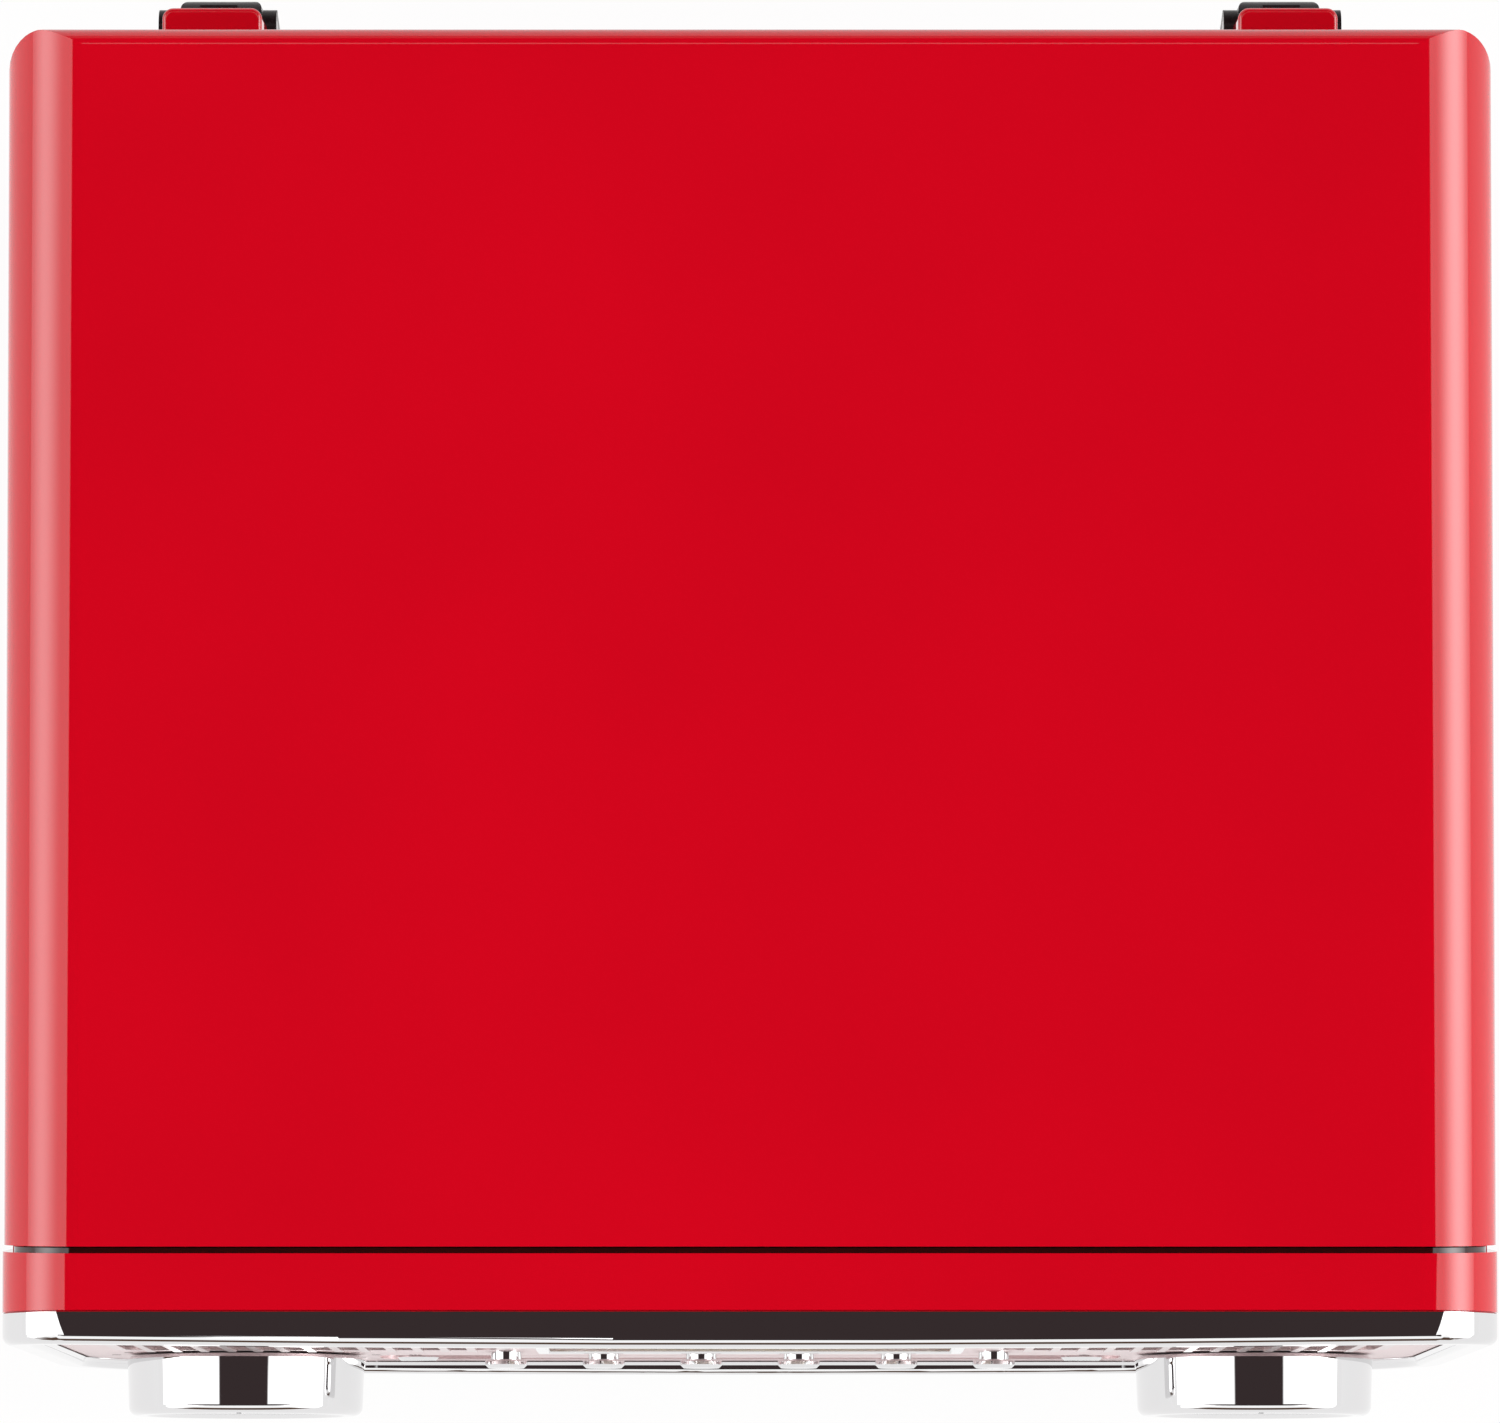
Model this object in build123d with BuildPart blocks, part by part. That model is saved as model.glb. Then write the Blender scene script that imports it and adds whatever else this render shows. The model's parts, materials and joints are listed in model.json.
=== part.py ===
"""Tabletop record player with radio and CD drawer, in a rounded fifties-style cabinet.

Millimetres, +Z up, front towards -Y. The origin is on the table under the middle of the whole object.
The front face leans back a few degrees; heights along it are measured up the face from table level.
"""
from math import cos, hypot, radians, sin, tan
import os

from build123d import *

os.makedirs("parts", exist_ok=True)

# ------------------------------------------------------------------ driving sizes: cabinet and lid
cabinet_width = 405.0
cabinet_top = 230.0        # top of the closed lid above the table
foot_height = 8.0
back_y = 184.8             # outside of the back wall
lid_depth = 329.3
lid_height = 46.0          # top of the lid down to the upper rim of the cabinet walls
lid_seam = 1.0             # height of the joint line between rim and lid
side_radius = 22.0         # upper long edges, left and right
base_radius = 50.0         # lower long edges
plan_radius = 11.0         # upright back corners
edge_radius = 4.5          # top and bottom edges at the back
wall = 3.0                 # cabinet walls
floor_thickness = 4.0
lid_wall = 2.5

# ------------------------------------------------------------------ driving sizes: front
front_seam = 1.8           # open joint between lid and front frame
frame_depth = 15.15
frame_proud = 0.4          # the front stands this much wider than the cabinet on each side
frame_wall = 4.0
frame_back_wall = 2.5
bezel_depth = 10.2
bezel_rim = 9.0            # width of the bright rim seen from the front
bezel_edge = 2.6           # rounding of its front edge
bezel_bow = 1.4            # how far its middle stands in front of its ends
bezel_lip = 3.0            # ledge behind the rim that carries the panel
mouth_draft = 6.0          # degrees: the mouth of the bezel opens outwards in front of the panel
mouth_round = 1.6
mouth_bevel = 0.9          # bevelled step round the panel
mouth_gap = 0.4            # shadow line between the panel and that step
rim_bevel = 0.45           # rear edge of the bright rim, along the joint with the frame
face_lean = 4.33           # degrees
panel_recess = 4.0
panel_thickness = 2.5
trim_inset = 2.7           # bright strip sunk in the joint in front of the lid
trim_width = 3.3
trim_depth = 1.4
fit = 0.2                  # general assembly clearance
glide = 0.3                # clearance beside a moving piece
running = 0.05             # radial clearance of a shaft in its bearing

# ------------------------------------------------------------------ driving sizes: controls on the face
knob_edge = 56.5           # side of the cabinet to the knob's axis
knob_v = 68.0
knob_radius = 34.3
knob_length = 17.7
knob_round = 2.6
knob_draft = 2.0           # degrees
knob_rim = 5.0             # flat ring round the dished face
knob_dish = 1.6
knob_well = 11.0           # recess behind the knob that clears the bush
shaft_radius = 3.0
button_pitch = 28.0
button_row_v = 88.0
button_cap_radius = 6.1
button_neck_radius = 4.4
button_neck_draft = 3.0    # degrees
button_cap_length = 2.4
button_neck_length = 2.2
button_travel = 1.8
bay_margin = 11.0          # sunk field round the CD drawer, beyond its outer buttons
bay_height = 30.0
bay_v = 48.0
bay_depth = 3.5
bay_button_shift = 23.0    # sets the drawer's buttons nearer to the door than to the knobs
dial_radius = 58.0         # half-round head of the tuning dial
dial_foot_v = 114.0
dial_drop = 15.0           # mouth of the bezel down to the head of the dial
dial_bezel_width = 4.0
dial_bezel_proud = 1.4
dial_chamber = 9.0
needle_rise = 8.0          # foot of the dial up to the needle's axis
needle_inset = 4.0         # tip of the needle to the rim of the half-round head
grille_edge = 22.5         # side of the cabinet to the grille
grille_dial_gap = 10.0     # head of the dial to the grille
grille_drop = 19.0         # mouth of the bezel down to the grille
grille_knob_gap = 11.7     # knob to grille
grille_corner = 10.0
grille_bar = 2.4
grille_pitch = 7.6
grille_border = 3.5        # frame round the bars
grille_proud = 1.0         # bars in front of the panel
cloth_margin = 4.0         # cloth beyond the opening, all round
cloth_thickness = 0.8
speaker_drop = 15.0        # middle of the grille down to the speaker's axis
speaker_radius = 37.0

# ------------------------------------------------------------------ driving sizes: deck and drive
deck_drop = 7.0            # upper rim of the cabinet down to the deck
deck_thickness = 3.0
ledge = 5.0
spindle_y = 20.0
spindle_radius = 3.58      # pin above the mat
spindle_shaft_radius = 4.0 # shaft in the platter and its bearing
spindle_height = 9.0       # above the mat
spindle_tip = 2.5          # tapered end of the pin
platter_radius = 100.0
platter_height = 13.0      # above the deck
platter_plate = 3.0
platter_skirt = 3.0
mat_thickness = 2.0
platter_rib_count = 12
belt_ring_radius = 76.0
pulley_radius = 5.0
pulley_reach = 87.0        # spindle to motor shaft
pulley_angle = 135.0
belt_thickness = 0.8
belt_height = 4.0

# ------------------------------------------------------------------ driving sizes: tonearm
arm_edge = 54.5            # side of the cabinet to the arm's pivot
arm_span = 190.0           # pivot to spindle, across
arm_y = 128.0
arm_height = 26.0          # above the deck
arm_overhang = 13.5        # how far the stylus would reach past the spindle
arm_tube_radius = 3.5
arm_rest_reach = 120.0     # pivot to rest, along the parked arm
turret_radius = 17.0
pedestal_radius = 22.0
pedestal_height = 12.0

lift_rise = 2.5
lift_radius = 40.0         # pivot to the curved bar
lift_middle = 247.0        # degrees round the pivot
lift_sweep = 56.0
lift_pin_radius = 2.5
lift_bar = 2.5

# ------------------------------------------------------------------ driving sizes: CD drawer
disc_radius = 60.5
tray_border = 5.5          # rim of the tray beside the disc
tray_length = 192.0
tray_thickness = 8.0
tray_z = 44.0              # underside
door_overlap = 5.0         # how far the door stands out beside the tray
door_height = 21.0
door_thickness = 3.0

# ------------------------------------------------------------------ driving sizes: lid hinges
hinge_edge = 55.5          # side of the cabinet to the middle of a hinge
hinge_y = 192.7
hinge_drop = 14.0          # upper rim of the cabinet down to the pin
hinge_pin_radius = 2.0
barrel_radius = 7.3
barrel_length = 22.4
barrel_corner = 2.5        # upright corners of the barrel block
ear_outer = 6.0            # width of the ear towards the side of the cabinet
ear_inner = 3.9
ear_radius = 5.0
pocket_width = 27.2
pocket_depth = 8.0
pocket_height = 24.0
blade_thickness = 4.0
blade_height = 19.0

# ------------------------------------------------------------------ worked-out places
cabinet_height = cabinet_top - foot_height
front_width = cabinet_width + 2 * frame_proud
lid_front = back_y - lid_depth
lid_split = cabinet_top - lid_height
lid_bottom = lid_split + lid_seam
frame_back = lid_front - front_seam
bezel_top_y = frame_back - frame_depth - bezel_depth
lean = radians(face_lean)
face = Plane(
    origin=(0, bezel_top_y - cabinet_top * tan(lean), 0),
    x_dir=(1, 0, 0),
    z_dir=(0, -cos(lean), sin(lean)),
)
bezel_back = face.offset(-bezel_depth * cos(lean))
panel_front = face.offset(-panel_recess)
panel_back = panel_front.offset(-panel_thickness)
bay_floor = panel_front.offset(-bay_depth)
floor_top = foot_height + floor_thickness
deck_top = lid_split - deck_drop
platter_top = deck_top + platter_height
mat_top = platter_top + mat_thickness
spindle_top = mat_top + spindle_height
arm_axis_z = deck_top + arm_height
hinge_z = lid_split - hinge_drop
half_width = cabinet_width / 2
inner_half = half_width - wall
knob_x = half_width - knob_edge
hinge_x = half_width - hinge_edge
grille_width = half_width - grille_edge - dial_radius - grille_dial_gap
grille_x = half_width - grille_edge - grille_width / 2
tray_width = 2 * (disc_radius + tray_border)
door_width = tray_width + 2 * door_overlap
bay_button_x = (door_width / 2 + knob_x - bay_button_shift) / 2
bay_width = 2 * (bay_button_x + bay_margin)
arm_x = half_width - arm_edge
spindle_x = arm_x - arm_span
arm_length = hypot(arm_span, arm_y - spindle_y) + arm_overhang
mouth_top = cabinet_top - bezel_rim
dial_side = mouth_top - dial_drop - dial_radius - dial_foot_v
needle_v = dial_foot_v + needle_rise
needle_length = dial_radius - needle_inset
grille_height = mouth_top - grille_drop - grille_knob_gap - knob_v - knob_radius
grille_v = mouth_top - grille_drop - grille_height / 2
speaker_v = grille_v - speaker_drop
button_xs = [button_pitch * (i - 2.5) for i in range(6)]
sides = (("left", -1), ("right", 1))


def write(piece, name):
    """Labels a finished piece and writes it as one STEP file."""
    piece.part.label = name
    export_step(piece.part, f"parts/{name}.step")


def upright(x, y):
    """Drawing plane through an upright axis: across is the radius, up is the height."""
    return Plane(origin=(x, y, 0), x_dir=(1, 0, 0), z_dir=(0, -1, 0))


def square_to(surface, x, v):
    """Drawing plane through an axis square to a plane of the face: across is the radius, up is outwards."""
    origin = surface.from_local_coords((x, v, 0))
    return Plane(origin=origin, x_dir=surface.x_dir, z_dir=-surface.y_dir)


def turned(plane, outline, rounding=0.0):
    """Solid of revolution about the upright of a drawing plane, from (radius, height) points.

    The corner farthest out and up can be rounded.
    """
    with BuildPart() as solid:
        with BuildSketch(plane) as profile:
            with BuildLine():
                Polyline(*outline, close=True)
            make_face()
            if rounding:
                fillet(profile.vertices().sort_by(lambda v: v.X + v.Y)[-1], rounding)
        revolve(axis=Axis(plane.origin, plane.y_dir))
    return solid


def rounded_outline(half, low, high, low_radius, high_radius):
    """Edges of an upright rounded outline about x = 0, with its own radii at foot and top."""
    corners = [(half, low), (-half, low), (-half, high), (half, high)]
    radii = [low_radius, low_radius, high_radius, high_radius]
    with BuildLine() as outline:
        FilletPolyline(*corners, radius=radii, close=True)
    return outline.edges()


def arch(width, inset):
    """Outline of the cabinet seen from the front, drawn in by inset."""
    return rounded_outline(
        width / 2 - inset,
        foot_height + inset,
        cabinet_top - inset,
        base_radius - inset,
        side_radius - inset,
    )


def body_form(inset, front_y):
    """Outer form of cabinet and lid together, drawn in by inset on every side but the front."""
    height = cabinet_height - 2 * inset
    depth = back_y - inset - front_y
    with BuildPart() as plan:
        with BuildSketch(Plane.XY.offset(foot_height + inset)) as outline:
            with Locations((0, front_y + depth / 2)):
                Rectangle(cabinet_width - 2 * inset, depth)
            fillet(outline.vertices().group_by(Axis.Y)[-1], plan_radius - inset)
        extrude(amount=height)
        rims = [e for e in plan.faces().filter_by(Axis.Z).edges() if e.center().Y > front_y + 1]
        fillet(rims, max(edge_radius - inset, 0.5))
    with BuildPart() as form:
        with BuildSketch(Plane.XZ.offset(inset - back_y)):
            make_face(arch(cabinet_width, inset))
        extrude(amount=depth)
        add(plan.part, mode=Mode.INTERSECT)
    return form


def opening(inset):
    """Mouth of the bezel on a plane of the face, drawn in by inset."""
    return rounded_outline(
        front_width / 2 - bezel_rim - inset,
        (foot_height + bezel_rim) / cos(lean) + inset,
        (cabinet_top - bezel_rim) / cos(lean) - inset,
        base_radius - bezel_rim - inset,
        side_radius - bezel_rim - inset,
    )


# ================================================================== lid
slot_width = barrel_length + 2 * fit
slot_thickness = blade_thickness + 2 * fit
blade_y = back_y + pocket_depth / 2
pocket_bottom = lid_bottom + 2.0
pocket_roof = 2.5
pocket_round = 3.0
pocket_edge = 1.2
root = 1.0                 # how far a piece reaches into the wall that it grows from

with BuildPart() as lid:
    add(body_form(0, lid_front).part)
    add(body_form(lid_wall, lid_front + lid_wall).part, mode=Mode.SUBTRACT)
    split(bisect_by=Plane.XY.offset(lid_bottom), keep=Keep.TOP)
    for _, side in sides:
        with BuildSketch(Plane.XY.offset(pocket_bottom)) as pocket_plan:
            with Locations((side * hinge_x, back_y + (pocket_depth - root) / 2)):
                Rectangle(pocket_width, pocket_depth + root)
            fillet(pocket_plan.vertices().group_by(Axis.Y)[-1], pocket_round)
        extrude(amount=pocket_height)
        with BuildSketch(Plane.XY.offset(pocket_bottom)):
            with Locations((side * hinge_x, blade_y)):
                Rectangle(slot_width, slot_thickness)
        extrude(amount=pocket_height - pocket_roof, mode=Mode.SUBTRACT)
    pocket_tops = lid.faces().filter_by(Axis.Z).filter_by_position(
        Axis.Z, pocket_bottom + pocket_height - 0.1, pocket_bottom + pocket_height + 0.1
    )
    rounded = [e for e in pocket_tops.edges() if e.center().Y > back_y + 0.5]
    fillet(rounded, pocket_edge)
write(lid, "lid")

# ================================================================== cabinet shell
cover_edge = 84.5           # side of the cabinet to the opening in its floor
cover_width = cabinet_width - 2 * cover_edge
cover_depth = 292.0
cover_y = (frame_back + back_y) / 2
cover_thickness = 2.0
cover_land = 9.0
jack_z = 80.0
jack_body_radius = 4.4
rca_xs = (-26.0, -10.0)
aux_x = 8.0
inlet_x = 27.0
jack_places = [(x, jack_z) for x in (*rca_xs, aux_x, inlet_x)]
vent_count = 9
vent_pitch = 9.0
vent_width = 3.0
vent_height = 34.0
screw_radius = 1.5
screw_head_radius = 3.0
screw_head_height = 1.8
screw_reach = 2.0           # end of a screw beyond what it holds
bracket_drop = 32.0         # hinge pin down to the foot of its bracket
bracket_bottom = hinge_z - bracket_drop
bracket_screw_z = bracket_bottom + 9.0
bracket_screw_spread = 8.0
bracket_screws = [
    (side * hinge_x + across, bracket_screw_z)
    for _, side in sides
    for across in (-bracket_screw_spread, bracket_screw_spread)
]
ledge_height = 4.0
vent_x = 0.75 * hinge_x
cover_screws = [
    (x, cover_y + y)
    for x in (-cover_width / 2 + cover_land / 2, 0, cover_width / 2 - cover_land / 2)
    for y in (-cover_depth / 2 + cover_land / 2, cover_depth / 2 - cover_land / 2)
]

with BuildPart() as cabinet_shell:
    add(body_form(0, frame_back).part)
    add(body_form(wall, frame_back - 1).part, mode=Mode.SUBTRACT)
    split(bisect_by=Plane.XY.offset(lid_split), keep=Keep.BOTTOM)
    # thicker floor between the rounded side edges
    with BuildSketch(Plane.XY.offset(foot_height + wall)):
        with Locations((0, (frame_back + back_y - wall) / 2)):
            Rectangle(cabinet_width - 2 * base_radius, back_y - wall - frame_back)
    extrude(amount=floor_thickness - wall)
    # ledge that carries the deck
    with BuildSketch(Plane.XY.offset(deck_top - deck_thickness)) as ledge_plan:
        with Locations((0, (frame_back + back_y - wall) / 2)):
            Rectangle(2 * inner_half, back_y - wall - frame_back)
            Rectangle(
                2 * (inner_half - ledge), back_y - wall - frame_back - 2 * ledge, mode=Mode.SUBTRACT
            )
        fillet(
            [v for v in ledge_plan.vertices() if abs(v.X) > inner_half - 1 and v.Y > 0],
            plan_radius - wall,
        )
    extrude(amount=-ledge_height)
    # opening in the floor, with a rebate for its cover
    with BuildSketch(Plane.XY.offset(foot_height)):
        with Locations((0, cover_y)):
            Rectangle(cover_width, cover_depth)
    extrude(amount=cover_thickness, mode=Mode.SUBTRACT)
    with BuildSketch(Plane.XY.offset(foot_height)):
        with Locations((0, cover_y)):
            Rectangle(cover_width - 2 * cover_land, cover_depth - 2 * cover_land)
    extrude(amount=floor_thickness, mode=Mode.SUBTRACT)
    # holes for the sockets, and two fields of cooling slots
    with BuildSketch(Plane.XZ.offset(-back_y)):
        with Locations(*jack_places):
            Circle(jack_body_radius)
        for _, side in sides:
            with Locations((side * vent_x, jack_z)):
                with GridLocations(vent_pitch, 0, vent_count, 1):
                    Rectangle(vent_width, vent_height)
        with Locations(*bracket_screws):
            Circle(screw_radius)
    extrude(amount=wall, mode=Mode.SUBTRACT)
    with BuildSketch(Plane.XY.offset(foot_height)):
        with Locations(*cover_screws):
            Circle(screw_radius)
    extrude(amount=floor_thickness, mode=Mode.SUBTRACT)
write(cabinet_shell, "cabinet_shell")

# ================================================================== bottom cover and feet
foot_radius = 13.0
foot_chamfer = 1.5
foot_x = cover_width / 2 + foot_radius + 3.0
foot_y = 118.0
cover_vent_edge = 30.0      # side of the cover to the middle of its slots
cover_vent_x = cover_width / 2 - cover_vent_edge
cover_vent_count = 7
cover_vent_length = 20.0
foot_places = [(x, cover_y + y) for x in (-foot_x, foot_x) for y in (-foot_y, foot_y)]

with BuildPart() as bottom_cover:
    with BuildSketch(Plane.XY.offset(foot_height)):
        with Locations((0, cover_y)):
            Rectangle(cover_width - 2 * fit, cover_depth - 2 * fit)
            for x in (-cover_vent_x, cover_vent_x):
                with Locations((x, 0)):
                    with GridLocations(0, vent_pitch, 1, cover_vent_count):
                        Rectangle(cover_vent_length, vent_width, mode=Mode.SUBTRACT)
        with Locations(*cover_screws):
            Circle(screw_radius, mode=Mode.SUBTRACT)
    extrude(amount=cover_thickness)
write(bottom_cover, "bottom_cover")

with BuildPart() as feet:
    with BuildSketch(Plane.XY.offset(foot_height)):
        with Locations(*foot_places):
            Circle(foot_radius)
    extrude(amount=-foot_height)
    chamfer(feet.faces().sort_by(Axis.Z)[: len(foot_places)].edges(), foot_chamfer)
write(feet, "rubber_feet")

# ================================================================== front frame, bezel and joint strip
window_side = 14.0          # cabinet wall to the window in the back of the frame
window_foot = 14.0          # cabinet floor to the window
window_head = 12.0          # window to the deck
window_bottom = floor_top + window_foot
window_top = deck_top - window_head
window_corner = 36.0

with BuildPart() as front_frame:
    with BuildSketch(Plane.XZ.offset(-frame_back)):
        make_face(arch(front_width, 0))
    extrude(amount=frame_depth + bezel_depth + cabinet_top * tan(lean))
    split(bisect_by=bezel_back, keep=Keep.BOTTOM)
    with BuildSketch(Plane.XZ.offset(frame_back_wall - frame_back)):
        make_face(arch(front_width, frame_wall))
    extrude(amount=cabinet_width, mode=Mode.SUBTRACT)
    # the back wall is whole behind the lid and open below the deck
    with BuildSketch(Plane.XZ.offset(-frame_back)):
        with Locations((0, (window_bottom + window_top) / 2)):
            RectangleRounded(2 * (inner_half - window_side), window_top - window_bottom, window_corner)
    extrude(amount=frame_back_wall, mode=Mode.SUBTRACT)
write(front_frame, "front_frame")

bow_plane = Plane(origin=face.origin, x_dir=face.x_dir, z_dir=face.y_dir)
outward = Axis((0, 0, 0), face.z_dir)
half_front = front_width / 2 + 1
bezel_reach = frame_depth + bezel_depth + cabinet_top * tan(lean) + 1

with BuildPart() as chrome_bezel:
    with BuildSketch(Plane.XZ.offset(-frame_back)):
        make_face(arch(front_width, 0))
    extrude(amount=bezel_reach)
    split(bisect_by=bezel_back, keep=Keep.TOP)
    # front face bowed slightly outwards
    with BuildSketch(bow_plane):
        with BuildLine():
            ThreePointArc((-half_front, bezel_bow), (0, 0), (half_front, bezel_bow))
            Polyline(
                (half_front, bezel_bow), (half_front, 2 * bezel_depth), (-half_front, 2 * bezel_depth),
                (-half_front, bezel_bow),
            )
        make_face()
    extrude(amount=cabinet_top / cos(lean), mode=Mode.INTERSECT)
    fillet(chrome_bezel.faces().sort_by(outward)[-1].edges(), bezel_edge)
    chamfer(chrome_bezel.faces().sort_by(outward)[0].edges(), rim_bevel)
    with BuildSketch(face):
        make_face(opening(0))
    extrude(amount=-(panel_recess + panel_thickness), mode=Mode.SUBTRACT)
    with BuildSketch(face):
        make_face(opening(bezel_lip))
    extrude(amount=-2 * bezel_depth, mode=Mode.SUBTRACT)
    with BuildSketch(panel_front):
        make_face(opening(0))
    extrude(amount=panel_recess, taper=-mouth_draft, mode=Mode.SUBTRACT)
    mouth = chrome_bezel.faces().sort_by(outward)[-1].inner_wires()[0].edges()
    fillet(mouth, mouth_round)
    # bevelled step round the panel
    with BuildSketch(panel_front.offset(mouth_gap)):
        make_face(opening(-root))
        make_face(opening(mouth_bevel), mode=Mode.SUBTRACT)
    extrude(amount=mouth_bevel)
    with BuildSketch(panel_front.offset(mouth_gap)):
        make_face(opening(mouth_bevel))
    extrude(amount=mouth_bevel, taper=-45, mode=Mode.SUBTRACT)
write(chrome_bezel, "chrome_bezel")

with BuildPart() as gap_trim:
    with BuildSketch(Plane.XZ.offset(-frame_back - trim_depth)):
        make_face(arch(cabinet_width, trim_inset))
        make_face(arch(cabinet_width, trim_inset + trim_width), mode=Mode.SUBTRACT)
    extrude(amount=trim_depth)
    split(bisect_by=Plane.XY.offset(lid_bottom), keep=Keep.TOP)
write(gap_trim, "gap_trim")

# ================================================================== front panel
neck_hole = button_neck_radius + glide
bush_radius = 4.5
post_radius = 3.0
post_inset = 5.0           # side of the board to its posts
post_rise = 27.0           # middle of the board to its posts
board_depth = 11.1         # front of the switch board behind the panel's face
board_side = 33.0          # side of the board to a knob's axis
board_width = 2 * (knob_x - board_side)
board_height = 66.0
board_v = 67.0
board_posts = [
    (x, board_v + v)
    for x in (-board_width / 2 + post_inset, board_width / 2 - post_inset)
    for v in (-post_rise, post_rise)
]
bay_wall = 2.5
bay_corner = 6.0
bay_slot_side = 2.0        # clearance round the tray where it passes the panel
bay_slot_rise = 2.5
grille_places = [(side * grille_x, grille_v) for _, side in sides]


def dial_shape(grow):
    """Half-round dial outline on the face, grown by grow, on the sketch plane in use."""
    with Locations((0, dial_foot_v + dial_side)):
        Circle(dial_radius + grow)
    with Locations((0, dial_foot_v + (dial_side - grow) / 2)):
        Rectangle(2 * (dial_radius + grow), dial_side + grow)
    with Locations((0, dial_foot_v - grow - dial_radius)):
        Rectangle(4 * dial_radius, 2 * dial_radius, mode=Mode.SUBTRACT)


with BuildPart() as front_panel:
    with BuildSketch(panel_front):
        make_face(opening(fit))
    extrude(amount=-panel_thickness)
    # tub of the drawer bay
    with BuildSketch(panel_back):
        with Locations((0, bay_v)):
            RectangleRounded(bay_width + 2 * bay_wall, bay_height + 2 * bay_wall, bay_corner + bay_wall)
    extrude(amount=-bay_depth)
    with BuildSketch(panel_front):
        with Locations((0, bay_v)):
            RectangleRounded(bay_width, bay_height, bay_corner)
    extrude(amount=-bay_depth, mode=Mode.SUBTRACT)
    with BuildSketch(panel_front):
        with Locations((0, bay_v)):
            Rectangle(tray_width + 2 * bay_slot_side, tray_thickness + 2 * bay_slot_rise)
        with Locations(*[(side * bay_button_x, bay_v) for _, side in sides]):
            Circle(neck_hole)
        with Locations(*[(x, button_row_v) for x in button_xs]):
            Circle(neck_hole)
        with Locations(*[(side * knob_x, knob_v) for _, side in sides]):
            Circle(bush_radius + fit)
        with Locations(*grille_places):
            RectangleRounded(grille_width, grille_height, grille_corner)
    extrude(amount=-4 * panel_thickness, mode=Mode.SUBTRACT)
    with BuildSketch(panel_front):
        dial_shape(0)
    extrude(amount=-panel_thickness, mode=Mode.SUBTRACT)
    with BuildSketch(panel_back):
        with Locations(*board_posts):
            Circle(post_radius)
    extrude(amount=-(board_depth - panel_thickness))
write(front_panel, "front_panel")

# ================================================================== speaker grilles, cloth and speakers
bar_count = int((grille_width - 2 * grille_border) / grille_pitch)
bar_height = grille_height - 2 * grille_border + 2.0
bar_seat = 0.5             # back of the bars in front of the cloth

with BuildPart() as speaker_grilles:
    with BuildSketch(panel_back):
        with Locations(*grille_places):
            RectangleRounded(grille_width - 2 * fit, grille_height - 2 * fit, grille_corner - fit)
            RectangleRounded(
                grille_width - 2 * grille_border, grille_height - 2 * grille_border,
                grille_corner - grille_border, mode=Mode.SUBTRACT,
            )
    extrude(amount=panel_thickness + grille_proud / 2)
    with BuildSketch(panel_back.offset(bar_seat)):
        with Locations(*grille_places):
            with GridLocations(grille_pitch, 0, bar_count, 1):
                Rectangle(grille_bar, bar_height)
    extrude(amount=panel_thickness - bar_seat + grille_proud)
write(speaker_grilles, "speaker_grilles")

with BuildPart() as speaker_cloth:
    with BuildSketch(panel_back):
        with Locations(*grille_places):
            RectangleRounded(
                grille_width + 2 * cloth_margin, grille_height + 2 * cloth_margin, grille_corner
            )
    extrude(amount=-cloth_thickness)
write(speaker_cloth, "speaker_cloth")

speaker_seat = panel_back.offset(-cloth_thickness)
flange = 2.0                # pressed rim of the basket
mouth_radius = speaker_radius - 6.0
neck_radius = 20.0          # where the basket meets the magnet
neck_depth = 17.0
magnet_depth = 31.0
voice_radius = 9.0          # foot of the cone
cone_rim = mouth_radius + 0.5
cone_edge = mouth_radius - 4.0
cone_depth = 13.0
basket = [
    (mouth_radius, 0), (speaker_radius, 0), (speaker_radius, -flange), (mouth_radius + 3, -flange),
    (neck_radius + 1, -neck_depth), (neck_radius, -neck_depth), (neck_radius, -magnet_depth),
    (0, -magnet_depth), (0, -neck_depth - flange), (voice_radius, -neck_depth - flange),
    (voice_radius, -neck_depth), (neck_radius - 0.5, -neck_depth + 1), (mouth_radius, -flange - 1.5),
]
cone = [
    (cone_rim, -0.5), (cone_rim, -1.5), (cone_edge, -2.6), (voice_radius, -cone_depth),
    (0, -cone_depth + 4), (0, -cone_depth + 5), (voice_radius, -cone_depth + 1), (cone_edge, -1.6),
]
for name, side in sides:
    axis_plane = square_to(speaker_seat, side * grille_x, speaker_v)
    with BuildPart() as speaker:
        add(turned(axis_plane, basket).part)
        add(turned(axis_plane, cone).part)
    write(speaker, f"speaker_{name}")

# ================================================================== tuning dial
lens_thickness = panel_thickness - 0.5
lens_land = 1.5            # how far the bezel covers the lens, and the plate backs the panel
dial_plate_thickness = 1.5
needle_depth = 4.5
needle_pin_radius = 2.0
needle_hub_radius = 5.5
needle_tail = 6.0
needle_root = 1.6          # half the width at the tail
needle_point = 0.5         # half the width at the tip
needle_thickness = 1.2
needle_shank = 3.0         # pin behind the plate

with BuildPart() as dial_bezel:
    with BuildSketch(panel_front):
        dial_shape(dial_bezel_width - lens_land)
    extrude(amount=dial_bezel_proud)
    with BuildSketch(panel_front):
        dial_shape(-lens_land)
    extrude(amount=dial_bezel_proud, mode=Mode.SUBTRACT)
    chamfer(dial_bezel.faces().sort_by(outward)[-1].edges(), 0.6)
write(dial_bezel, "dial_bezel")

with BuildPart() as dial_lens:
    with BuildSketch(panel_front):
        dial_shape(-fit)
    extrude(amount=-lens_thickness)
write(dial_lens, "dial_lens")

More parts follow.
